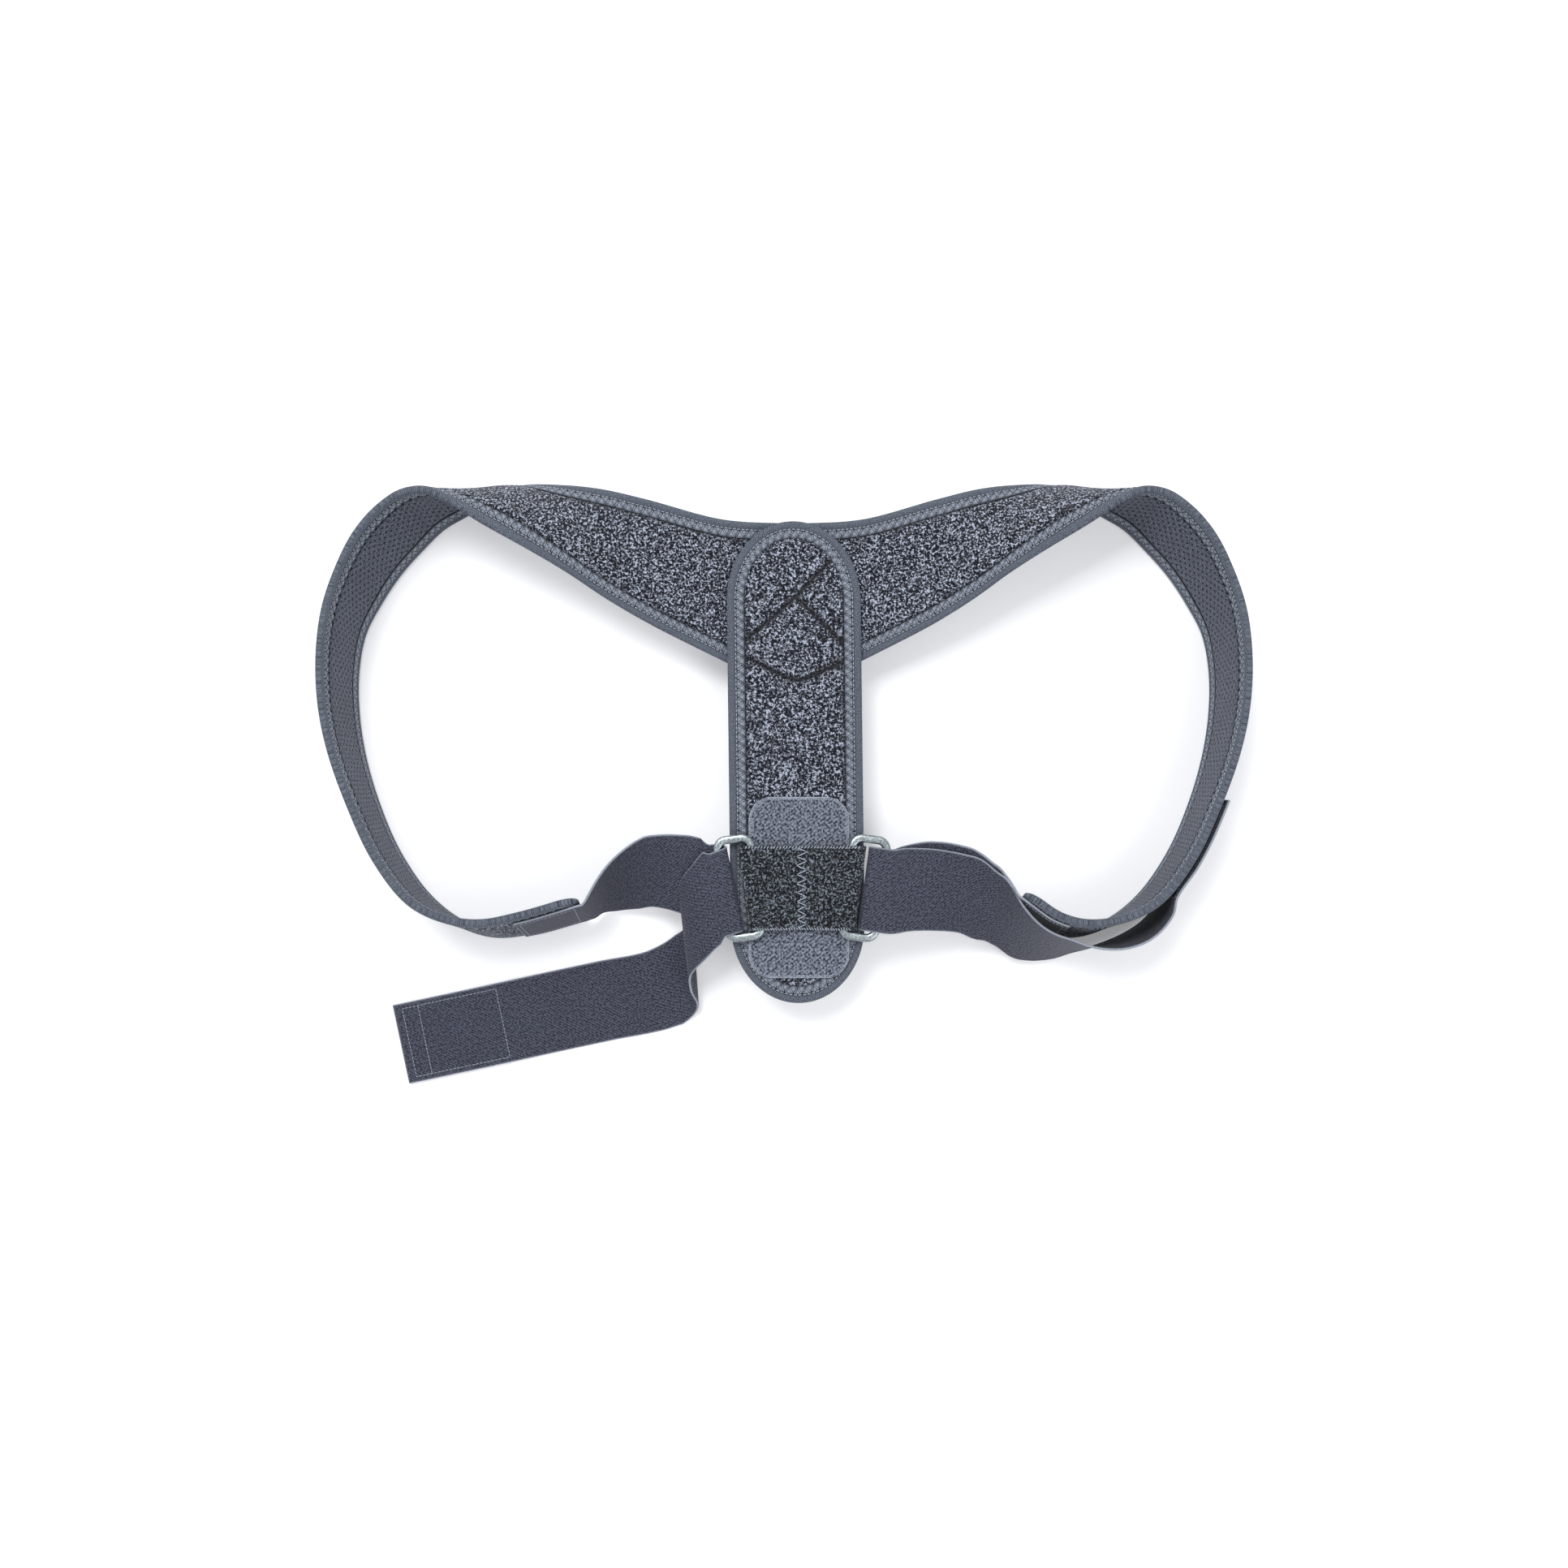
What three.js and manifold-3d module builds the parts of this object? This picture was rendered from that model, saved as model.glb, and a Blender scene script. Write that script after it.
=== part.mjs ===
// Posture corrector laid on a table: two padded shoulder loops that meet in a yoke, a spine strap
// sewn over the yoke, and two elastic straps that turn through metal rings held by a band on a
// hook-tape tab. Sizes are in millimetres, +Z is up and the table is z = 0.
import * as THREE from "three";
import { mergeVertices } from "three/addons/utils/BufferGeometryUtils.js";
import Module from "manifold-3d";

// Loops and yoke.
const loopHalf = 270.3; // from the middle of the loops to the outermost pad edge
const loopDrop = 250; // from the shoulders to the lowest stretch of the loops, seen from above
const shoulderLine = 171; // y of the shoulders' top edge
const padWidth = 56; // of a pad where it stands on its edge
const padThickness = 4.4;
const padEdgeThickness = 2; // where the binding squeezes the foam
const padEndRadius = 12;
const spineShift = 5.3; // the yoke and spine lie this far right of the middle of the loops
const spineLean = 3.4; // and the spine's bottom end this much further right

// Binding tape.
const tapeThickness = 1.1;
const padStand = 1.7; // height of the pads' lower edges over the table, so the leaning tape just meets it
const tapeOverlap = 9; // how far the tape reaches in over each face
const gap = 0.3; // clearance between neighbouring pieces

// Spine strap.
const spineWidth = 77.4;
const spineLength = 285.5;
const spineTopRound = 46; // length of the rounded top end
const spineBottomRound = 46;
const spineOverYoke = 0.5; // how far the spine's top end stands beyond the yoke

// Hook tab, ring band and rings.
const tabWidth = 60;
const tabLength = 108;
const tabThickness = 1.4;
const tabRound = 14;
const tabShift = 3.6; // right of the spine's centre line
const sliderHeight = 68; // from the spine's bottom end up to the middle of the tab and rings
const bandWidth = 50;
const bandThickness = 1.2;
const bandShift = 5.3; // right of the spine's centre line
const bandReach = 35; // from the band's middle seam to the end of each loop
const bandSeamHalf = 6; // the two layers are sewn together this far each side of the middle
const bandSeamPuff = 0.4; // thickness of the sewn middle over its two layers
const bandLevelReach = 1.5; // the top layer lies level this far beyond the ring's inner bar
const ringLength = 63.5;
const ringWidth = 25;
const ringBar = 5;
const ringThickness = 3.5;
const ringCorner = 8;
const ringBevel = 0.8;
const ringSpread = 37.1; // from the band's middle to each ring's middle
const ringTiltDegrees = 7.5; // each ring's top leans outwards

// Elastic straps and the hook patches on their ends.
const elasticWidth = 50;
const elasticThickness = 1.4;
const foldReach = 1.6; // how far the fold round the ring's bar stands clear of the bar
const leftSkewDegrees = 12; // the left strap runs this far off square through its ring
const strapLead = 3; // of level strap beyond the ring's bar, and beyond the pad's end
const freeEndLength = 163;
const freeEndDegrees = 12; // the free end slants this far down from straight left
const patchLength = 62;
const patchWidth = 46;
const patchThickness = 1.5;
const patchClear = 1.2; // between the right patch and the pad's bound edges
const sewnLengthLeft = 38; // of strap sewn to the pad's outer face
const sewnLengthRight = 30;

const degrees = Math.PI / 180;
const padHalf = padThickness / 2;
const padEdgeHalf = padEdgeThickness / 2;
const slotHalf = padEdgeHalf + gap;
const boundHalf = slotHalf + tapeThickness; // half the thickness of a bound edge
const tapeNose = gap + tapeThickness; // how far the tape stands beyond the pad's edge
const elasticHalf = elasticThickness / 2;

// A pad from the yoke's middle round its loop. Each row is one section: edge x and y as shares of
// loopHalf and loopDrop, the edge's height, the step across to the other edge in x and y, that
// edge's height and the crown of the section, all four as shares of padWidth.
const padColumns = ["x", "y", "rise", "acrossX", "acrossY", "lift", "crown"];
const padRows = [
  [0.0, 0.466, 0.5, 0.0, 1.8, 0.5, 0.0],
  [0.151, 0.384, 0.5, 0.02, 1.48, 0.5, 0.0],
  [0.314, 0.296, 0.63, 0.04, 1.28, 0.62, 0.01],
  [0.402, 0.24, 0.74, 0.06, 1.13, 0.62, 0.07],
  [0.487, 0.177, 0.84, 0.1, 0.92, 0.49, 0.14],
  [0.57, 0.122, 0.92, 0.06, 0.71, 0.3, 0.18],
  [0.65, 0.071, 0.97, -0.04, 0.47, 0.12, 0.16],
  [0.714, 0.028, 1.0, -0.13, 0.19, 0.03, 0.11],
  [0.773, 0.0, 1.0, -0.18, -0.06, 0.012, 0.06],
  [0.824, 0.006, 1.0, -0.18, -0.18, 0.008, 0.03],
  [0.876, 0.044, 1.0, -0.19, -0.24, 0.0, 0.0],
  [0.923, 0.104, 1.0, -0.17, -0.25, 0.0, 0.0],
  [0.96, 0.184, 1.0, -0.13, -0.22, 0.0, 0.0],
  [0.988, 0.276, 1.0, -0.09, -0.15, 0.0, 0.0],
  [1.0, 0.384, 1.0, -0.07, -0.08, 0.0, 0.0],
  [0.996, 0.496, 1.0, -0.05, -0.03, 0.0, 0.0],
  [0.976, 0.604, 1.0, -0.02, -0.02, 0.0, 0.0],
  [0.934, 0.732, 1.0, 0.03, 0.01, 0.0, 0.0],
  [0.878, 0.86, 1.0, 0.06, 0.02, 0.0, 0.0],
  [0.806, 0.958, 1.0, 0.07, -0.03, 0.0, 0.0],
  [0.731, 0.998, 1.0, 0.07, -0.14, 0.0, 0.0],
  [0.656, 1.008, 1.0, 0.05, -0.22, 0.0, 0.0],
];
const padTailLeft = [
  [0.568, 0.99, 1.0, 0.04, -0.26, 0.0, 0.0],
  [0.449, 0.952, 1.0, 0.06, -0.28, 0.0, 0.0],
];
const padTailRight = [
  [0.595, 0.991, 1.0, 0.05, -0.25, 0.0, 0.0],
  [0.524, 0.938, 1.0, 0.05, -0.26, 0.0, 0.0],
];

// A strap's course beside its ring. Each row is the middle of the strap, out from the ring's middle
// in x and y as shares of elasticWidth, its height as a share of the ring's height, and the slant
// and dip of its width in degrees.
const courseColumns = ["x", "y", "height", "slant", "dip"];

// The left strap from its pad to its ring, then from the ring down to the table.
const rearLeft = [
  [-1.66, -0.08, 0.6, -10, 58],
  [-1.47, 0.04, 0.6, -8, 46],
  [-1.26, 0.13, 0.64, -6, 37],
  [-1.05, 0.18, 0.7, -4, 30],
  [-0.7, 0.15, 0.82, -5, 16],
];
const fallLeft = [
  [-0.48, -0.29, 0.98, 9, 0],
  [-0.66, -0.53, 0.73, 7, 5],
  [-0.65, -0.75, 0.48, 5, 6],
  [-0.57, -0.97, 0.24, 2, 5],
  [-0.68, -1.13, 0.09, 3, 2],
  [-1.05, -1.33, 0.03, 8, 0],
];

// The right strap from its pad to its ring, then from the ring out round the pad's lower stretch.
const rearRight = [
  [1.68, -0.09, 0.65, 8, 59],
  [1.54, -0.03, 0.68, 6, 51],
  [1.37, 0.04, 0.71, 4, 43],
  [1.18, 0.08, 0.76, 2, 34],
  [0.84, 0.08, 0.83, 0, 17],
];
const overRight = [
  [0.55, -0.02, 1.03, -1, 3],
  [0.85, -0.03, 0.96, 0, 11],
  [1.21, -0.09, 0.87, -2, 20],
  [1.45, -0.2, 0.8, -6, 33],
  [1.65, -0.32, 0.77, -5, 42],
  [1.87, -0.56, 0.72, -1, 51],
  [2.09, -0.68, 0.68, 8, 59],
  [2.31, -0.73, 0.65, 20, 66],
  [2.52, -0.73, 0.62, 38, 70],
  [2.74, -0.74, 0.61, 62, 76],
  [2.97, -0.72, 0.61, 95, 79],
  [3.2, -0.66, 0.61, 122, 80],
  [3.44, -0.53, 0.61, 135, 82],
  [3.64, -0.3, 0.62, 143, 82],
];
const foldSlantDegrees = 4; // the left strap's fold slants this far from its ring's bar
const lyingLift = 0.3; // of the free end's middle over half the strap's thickness
const heldBack = 158; // the right strap's end lies this far back along the pad from the pad's end

const wasm = await Module();
wasm.setup();

function rowsOf(columns, rows) {
  return rows.map((row) => Object.fromEntries(columns.map((name, i) => [name, row[i]])));
}

function smoothstep(t) {
  const c = Math.min(1, Math.max(0, t));
  return c * c * (3 - 2 * c);
}

// A sheet is a surface between two edges. Places on it are (along, across) in millimetres, and
// it goes on straight beyond its ends and sides.
class Sheet {
  constructor(samples, face) {
    this.samples = samples;
    this.face = face;
    this.lengths = [0];
    for (let i = 1; i < samples.length; i++) {
      const step = middle(samples[i]).distanceTo(middle(samples[i - 1]));
      this.lengths.push(this.lengths[i - 1] + step);
    }
    this.length = this.lengths[samples.length - 1];
  }

  at(along) {
    let i = 1;
    while (i < this.samples.length - 1 && this.lengths[i] < along) i++;
    const [before, after] = [this.samples[i - 1], this.samples[i]];
    const t = (along - this.lengths[i - 1]) / (this.lengths[i] - this.lengths[i - 1]);
    return {
      a: before.a.clone().lerp(after.a, t),
      b: before.b.clone().lerp(after.b, t),
      up: before.up.clone().lerp(after.up, t),
      crown: before.crown + (after.crown - before.crown) * t,
    };
  }

  width(along) {
    const { a, b } = this.at(along);
    return a.distanceTo(b);
  }

  point(along, across) {
    const { a, b, up, crown } = this.at(along);
    const share = across / a.distanceTo(b);
    return a.lerp(b, share).addScaledVector(up, 4 * crown * share * (1 - share));
  }

  normal(along, across) {
    const step = 0.4;
    const lengthwise = this.point(along + step, across).sub(this.point(along - step, across));
    const crosswise = this.point(along, across + step).sub(this.point(along, across - step));
    return lengthwise.cross(crosswise).normalize().multiplyScalar(this.face);
  }

  lifted(along, across, height) {
    return this.point(along, across).addScaledVector(this.normal(along, across), height);
  }
}

function middle({ a, b }) {
  return a.clone().add(b).multiplyScalar(0.5);
}

// Fills in the direction in which a section's crown stands up: square to the sheet at its middle.
function withUps(samples, face) {
  return samples.map((sample, i) => {
    const before = middle(samples[Math.max(0, i - 1)]);
    const after = middle(samples[Math.min(samples.length - 1, i + 1)]);
    const up = after.sub(before).cross(sample.b.clone().sub(sample.a)).normalize();
    return { ...sample, up: up.multiplyScalar(face) };
  });
}

function smoothCurve(points) {
  return new THREE.CatmullRomCurve3(points, false, "centripetal");
}

// A closed solid through rings of points, each ring the same outline (given flat in profile).
function loft(rings, profile, closed = false) {
  const count = profile.length;
  const points = rings.flat();
  const triangles = [];
  const spans = closed ? rings.length : rings.length - 1;
  for (let i = 0; i < spans; i++) {
    const next = (i + 1) % rings.length;
    for (let j = 0; j < count; j++) {
      const k = (j + 1) % count;
      const [p, q, r, s] = [i * count + j, i * count + k, next * count + k, next * count + j];
      triangles.push(p, q, r, p, r, s);
    }
  }
  if (!closed) {
    const last = (rings.length - 1) * count;
    for (const [p, q, r] of capTriangles(profile)) {
      triangles.push(p, r, q, last + p, last + q, last + r);
    }
  }
  return facingOut(points, triangles);
}

// The cap's triangles, wound so that an outline that runs clockwise caps the same way round.
function capTriangles(profile) {
  const outline = profile.map(([x, y]) => new THREE.Vector2(x, y));
  const triangles = THREE.ShapeUtils.triangulateShape(outline, []);
  const turnsBack = THREE.ShapeUtils.isClockWise(outline);
  return triangles.map(([p, q, r]) => {
    const [u, v, w] = [outline[p], outline[q], outline[r]];
    const clockwise = THREE.ShapeUtils.isClockWise([u, v, w]);
    return clockwise === turnsBack ? [p, q, r] : [p, r, q];
  });
}

function facingOut(points, triangles) {
  let volume = 0;
  for (let i = 0; i < triangles.length; i += 3) {
    const [p, q, r] = [points[triangles[i]], points[triangles[i + 1]], points[triangles[i + 2]]];
    volume += p.dot(q.clone().cross(r));
  }
  if (volume < 0) triangles.reverse();
  const geometry = new THREE.BufferGeometry().setFromPoints(points);
  geometry.setIndex(triangles);
  return geometry;
}

function solidOf(geometry) {
  const bare = geometry.clone();
  bare.deleteAttribute("normal");
  bare.deleteAttribute("uv");
  const merged = mergeVertices(bare, 1e-4);
  return new wasm.Manifold(
    new wasm.Mesh({
      numProp: 3,
      vertProperties: new Float32Array(merged.attributes.position.array),
      triVerts: new Uint32Array(merged.index.array),
    }),
  );
}

function geometryOf(solid) {
  const mesh = solid.getMesh();
  const geometry = new THREE.BufferGeometry();
  geometry.setAttribute("position", new THREE.BufferAttribute(mesh.vertProperties, 3));
  geometry.setIndex(new THREE.BufferAttribute(mesh.triVerts, 1));
  return geometry;
}

// The pad's middle surface, from the yoke's middle to its end. side is -1 left, 1 right.
function padSheet(side, tail) {
  const rows = rowsOf(padColumns, [...padRows, ...tail]);
  const shoulderRow = 8;
  const edge = (row, i) => {
    const shift = spineShift * (1 - smoothstep(i / shoulderRow));
    return new THREE.Vector3(
      side * (gap / 2 + row.x * loopHalf) + shift,
      shoulderLine - row.y * loopDrop,
      padStand + row.rise * padWidth,
    );
  };
  const otherEdge = (row, i) => {
    const a = edge(row, i);
    return new THREE.Vector3(
      a.x + side * row.acrossX * padWidth,
      a.y + row.acrossY * padWidth,
      padStand + row.lift * padWidth,
    );
  };
  const curveA = smoothCurve(rows.map(edge));
  const curveB = smoothCurve(rows.map(otherEdge));
  const crowns = smoothCurve(rows.map((row, i) => new THREE.Vector3(row.crown, i, 0)));
  const perRow = 8;
  const count = (rows.length - 1) * perRow;
  const samples = [];
  for (let i = 0; i <= count; i++) {
    const t = i / count;
    samples.push({
      a: curveA.getPoint(t),
      b: curveB.getPoint(t),
      crown: crowns.getPoint(t).x * padWidth,
    });
  }
  const sheet = new Sheet(withUps(samples, side), side);
  sheet.sections = sectionPlaces(sheet, perRow);
  return sheet;
}

// The places along a pad where its solid and its binding both have a section.
function sectionPlaces(sheet, perRow) {
  const straight = sheet.length - padEndRadius;
  const places = sheet.lengths.filter((_, i) => i % (perRow / 2) === 0);
  return [...places.filter((along) => along < straight - 2), straight];
}

// How far the pad's rounded end cuts in from each side.
function endInset(sheet, along) {
  const into = along - (sheet.length - padEndRadius);
  if (into <= 0) return 0;
  return padEndRadius - Math.sqrt(Math.max(0, padEndRadius ** 2 - into ** 2));
}

function padGeometry(sheet) {
  const slope = 1.4; // width of the slope where the foam swells beside the binding
  const endShares = [0.35, 0.65, 0.85, 0.96];
  const straight = sheet.length - padEndRadius;
  const endPlaces = endShares.map((share) => straight + share * padEndRadius);
  const places = [...sheet.sections, ...endPlaces, sheet.length];
  let profile = null;
  const rings = places.map((along) => {
    const full = sheet.width(along);
    const inset = endInset(sheet, along);
    const mid = along < straight ? padHalf : padEdgeHalf + 0.01;
    const side = [
      [0, padEdgeHalf],
      [tapeOverlap + gap, padEdgeHalf],
      [tapeOverlap + gap + slope, mid],
      [full / 2, mid],
    ].map(([across, height], i) => [Math.max(across, inset + i * 0.2), height]);
    const other = side.slice(0, -1).reverse();
    const top = [...side, ...other.map(([across, height]) => [full - across, height])];
    const bottom = top.map(([across, height]) => [across, -height]).reverse();
    const outline = [...top, ...bottom];
    profile ??= outline;
    return outline.map(([across, height]) => sheet.lifted(along, across, height));
  });
  return loft(rings, profile);
}

// The binding's section: how far out from the pad's edge, and how high over its middle surface.
const tapeProfile = [
  [-tapeOverlap, slotHalf],
  [gap, slotHalf],
  [gap, -slotHalf],
  [-tapeOverlap, -slotHalf],
  [-tapeOverlap, -boundHalf],
  [0, -boundHalf],
  [tapeNose, -boundHalf / 2],
  [tapeNose, boundHalf / 2],
  [0, boundHalf],
  [-tapeOverlap, boundHalf],
];

// The tape runs out along one edge of the pad, round its end and back along the other edge.
function padBindingGeometry(sheet) {
  const along = sheet.sections;
  const straight = sheet.length - padEndRadius;
  const cornerSteps = 5;
  const path = along.map((place) => ({ at: [place, 0], out: [0, -1] }));
  const endWidth = sheet.width(sheet.length);
  for (const upper of [false, true]) {
    for (let i = 1; i <= cornerSteps; i++) {
      const share = upper ? (i - 1) / cornerSteps : i / cornerSteps;
      const angle = (upper ? share * 90 : share * 90 - 90) * degrees;
      const out = [Math.cos(angle), Math.sin(angle)];
      const centre = upper ? endWidth - padEndRadius : padEndRadius;
      path.push({ at: [straight + padEndRadius * out[0], centre + padEndRadius * out[1]], out });
    }
  }
  for (const place of [...along].reverse()) {
    path.push({ at: [place, sheet.width(place)], out: [0, 1] });
  }
  const rings = path.map(({ at, out }) =>
    tapeProfile.map(([outwards, height]) =>
      sheet.lifted(at[0] + out[0] * outwards, at[1] + out[1] * outwards, height),
    ),
  );
  return loft(rings, tapeProfile);
}

const leftPad = padSheet(-1, padTailLeft);
const rightPad = padSheet(1, padTailRight);

// Heights, from the yoke up: spine strap, hook tab, band, rings, band again.
const yokeZ = padStand + padRows[0][padColumns.indexOf("rise")] * padWidth;
const spineZ = yokeZ + 2 * boundHalf + gap;
const tabZ = spineZ + boundHalf + gap;
const bandZ = tabZ + tabThickness + gap;
const ringZ = bandZ + bandThickness + gap;
const ringMiddleZ = ringZ + ringThickness / 2;
const bandTopZ = ringZ + ringThickness + gap + bandThickness;
const spineTopY = leftPad.at(0).b.y + spineOverYoke;
const spineBottomY = spineTopY - spineLength;
const sliderY = spineBottomY + sliderHeight;

// The spine strap's outline: a straight strap with an elliptical end at the top and bottom.
function spineOutline(inset) {
  const stepsPerEnd = 18;
  const points = [];
  const half = spineWidth / 2;
  for (const [end, round] of [[1, spineTopRound], [-1, spineBottomRound]]) {
    const centreY = end > 0 ? spineTopY - round : spineBottomY + round;
    for (let i = 0; i <= stepsPerEnd; i++) {
      const angle = (i / stepsPerEnd) * Math.PI + (end > 0 ? 0 : Math.PI);
      const at = new THREE.Vector2(half * Math.cos(angle), round * Math.sin(angle));
      const out = new THREE.Vector2(at.x / half ** 2, at.y / round ** 2).normalize();
      const place = new THREE.Vector2(spineShift + at.x, centreY + at.y);
      place.addScaledVector(out, -inset);
      place.x += (spineLean * (spineTopY - place.y)) / spineLength;
      points.push({ at: place, out });
    }
  }
  return points;
}

function plate(points, bottom, thickness) {
  const shape = new THREE.Shape(points);
  const geometry = new THREE.ExtrudeGeometry(shape, { depth: thickness, bevelEnabled: false });
  return geometry.translate(0, 0, bottom);
}

function spineGeometry() {
  const edge = spineOutline(0).map(({ at }) => at);
  const raised = spineOutline(tapeOverlap + gap).map(({ at }) => at);
  const thin = solidOf(plate(edge, spineZ - padEdgeHalf, padEdgeThickness));
  const thick = solidOf(plate(raised, spineZ - padHalf, padThickness));
  return geometryOf(thin.add(thick));
}

function spineBindingGeometry() {
  const rings = spineOutline(0).map(({ at, out }) =>
    tapeProfile.map(
      ([outwards, height]) =>
        new THREE.Vector3(at.x + out.x * outwards, at.y + out.y * outwards, spineZ + height),
    ),
  );
  return loft(rings, tapeProfile, true);
}

function roundedRectangle(Kind, width, height, radius) {
  const [x, y] = [width / 2, height / 2];
  const shape = new Kind();
  shape.moveTo(-x + radius, -y);
  shape.lineTo(x - radius, -y);
  shape.absarc(x - radius, -y + radius, radius, -Math.PI / 2, 0);
  shape.lineTo(x, y - radius);
  shape.absarc(x - radius, y - radius, radius, 0, Math.PI / 2);
  shape.lineTo(-x + radius, y);
  shape.absarc(-x + radius, y - radius, radius, Math.PI / 2, Math.PI);
  shape.lineTo(-x, -y + radius);
  shape.absarc(-x + radius, -y + radius, radius, Math.PI, 1.5 * Math.PI);
  shape.closePath();
  return shape;
}

function tabGeometry() {
  const shape = roundedRectangle(THREE.Shape, tabWidth, tabLength, tabRound);
  const settings = { depth: tabThickness, bevelEnabled: false, curveSegments: 8 };
  const geometry = new THREE.ExtrudeGeometry(shape, settings);
  return geometry.translate(spineShift + tabShift, sliderY, tabZ);
}

function ringGeometry() {
  const grown = 2 * ringBevel;
  const shape = roundedRectangle(
    THREE.Shape,
    ringWidth - grown,
    ringLength - grown,
    ringCorner - ringBevel,
  );
  const slotCorner = ringCorner - ringBar + ringBevel;
  const hole = roundedRectangle(
    THREE.Path,
    ringWidth - 2 * ringBar + grown,
    ringLength - 2 * ringBar + grown,
    slotCorner,
  );
  shape.holes.push(hole);
  const geometry = new THREE.ExtrudeGeometry(shape, {
    depth: ringThickness - grown,
    bevelThickness: ringBevel,
    bevelSize: ringBevel,
    bevelSegments: 1,
    curveSegments: 5,
  });
  return geometry.translate(0, 0, ringBevel - ringThickness / 2);
}

// The band seen from its edge: two layers sewn together in the middle, open round each ring's bar.
function bandGeometry() {
  const height = bandTopZ - bandZ;
  const radius = height / 2;
  const seamTop = 2 * bandThickness + bandSeamPuff;
  const inner = radius - bandThickness;
  const bend = bandReach - radius;
  const level = ringSpread - ringWidth / 2 - bandLevelReach;
  const shape = new THREE.Shape();
  shape.moveTo(-bend, 0);
  shape.lineTo(bend, 0);
  shape.absarc(bend, radius, radius, -Math.PI / 2, Math.PI / 2);
  shape.lineTo(level, height);
  shape.bezierCurveTo(level * 0.6, height, bandSeamHalf * 2, seamTop, 0, seamTop);
  shape.bezierCurveTo(-bandSeamHalf * 2, seamTop, -level * 0.6, height, -level, height);
  shape.lineTo(-bend, height);
  shape.absarc(-bend, radius, radius, Math.PI / 2, 1.5 * Math.PI);
  const edgewise = (outline, extra) => {
    const settings = { depth: bandWidth + 2 * extra, bevelEnabled: false, curveSegments: 7 };
    const geometry = new THREE.ExtrudeGeometry(outline, settings);
    return solidOf(geometry.rotateX(Math.PI / 2).translate(0, bandWidth / 2 + extra, bandZ));
  };
  let band = edgewise(shape, 0);
  for (const side of [-1, 1]) {
    const hole = new THREE.Shape();
    hole.moveTo(side * bandSeamHalf, bandThickness);
    hole.lineTo(side * bend, bandThickness);
    if (side > 0) hole.absarc(bend, radius, inner, -Math.PI / 2, Math.PI / 2);
    else hole.absarc(-bend, radius, inner, -Math.PI / 2, -1.5 * Math.PI, true);
    hole.lineTo(side * level, height - bandThickness);
    hole.bezierCurveTo(
      side * level * 0.7,
      height - bandThickness,
      side * bandSeamHalf * 2,
      bandThickness + bandSeamPuff,
      side * bandSeamHalf,
      bandThickness,
    );
    band = band.subtract(edgewise(hole, 1));
  }
  const geometry = geometryOf(band);
  const positions = geometry.attributes.position;
  const spread = Math.tan(ringTiltDegrees * degrees) / bandReach;
  for (let i = 0; i < positions.count; i++) {
    positions.setX(i, positions.getX(i) * (1 + spread * positions.getY(i)));
  }
  return geometry.translate(spineShift + bandShift, sliderY, 0);
}

// A ring's own axes: out away from the spine, top along its bars, up.
function ringFrame(side) {
  const tilt = ringTiltDegrees * degrees;
  return {
    side,
    centre: new THREE.Vector3(spineShift + bandShift + side * ringSpread, sliderY, ringMiddleZ),
    out: new THREE.Vector3(side * Math.cos(tilt), -Math.sin(tilt), 0),
    top: new THREE.Vector3(side * Math.sin(tilt), Math.cos(tilt), 0),
  };
}

// A strap station: the middle of the strap and the direction of its width.
function station(centre, across) {
  return { centre, across: across.clone().normalize() };
}

function slanted(slant, dip) {
  const [plan, fall] = [slant * degrees, dip * degrees];
  return new THREE.Vector3(
    Math.cos(fall) * Math.sin(plan),
    -Math.cos(fall) * Math.cos(plan),
    -Math.sin(fall),
  );
}

// The strap turns round the ring's outer bar: in under it, up through the slot and out over it.
function ringStations(frame, skewDegrees, slantDegrees) {
  const turnHalf = ringThickness / 2 + gap + elasticHalf;
  const turnAt = ringWidth / 2 - ringBar - foldReach; // outwards from the ring's middle
  const lead = ringWidth / 2 + strapLead - turnAt;
  const steps = 6;
  const drift = Math.tan(skewDegrees * degrees);
  const place = (outwards, travelled, height) =>
    frame.centre
      .clone()
      .addScaledVector(frame.out, outwards)
      .addScaledVector(frame.top, -travelled * drift)
      .add(new THREE.Vector3(0, 0, height));
  const across = frame.top.clone().negate();
  across.applyAxisAngle(new THREE.Vector3(0, 0, 1), slantDegrees * degrees);
  const half = (Math.PI * turnHalf) / 2;
  const found = [1, 0.5].map((share) =>
    station(place(turnAt + lead * share, -half - lead * share, -turnHalf), across),
  );
  for (let i = 0; i <= steps; i++) {
    const angle = (i / steps) * Math.PI;
    const [back, height] = [-turnHalf * Math.sin(angle), -turnHalf * Math.cos(angle)];
    found.push(station(place(turnAt + back, turnHalf * angle - half, height), across));
  }
  for (const share of [0.5, 1]) {
    found.push(station(place(turnAt + lead * share, half + lead * share, turnHalf), across));
  }
  return found;
}

function padStation(pad, along, offset) {
  const { a, b } = pad.at(along);
  const centre = pad.lifted(along, pad.width(along) / 2, offset);
  return station(centre, b.sub(a));
}

function courseStations(frame, rows) {
  return rowsOf(courseColumns, rows).map((row) =>
    station(
      new THREE.Vector3(
        frame.centre.x + row.x * elasticWidth,
        frame.centre.y + row.y * elasticWidth,
        frame.centre.z * row.height,
      ),
      slanted(row.slant, row.dip),
    ),
  );
}

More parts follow.
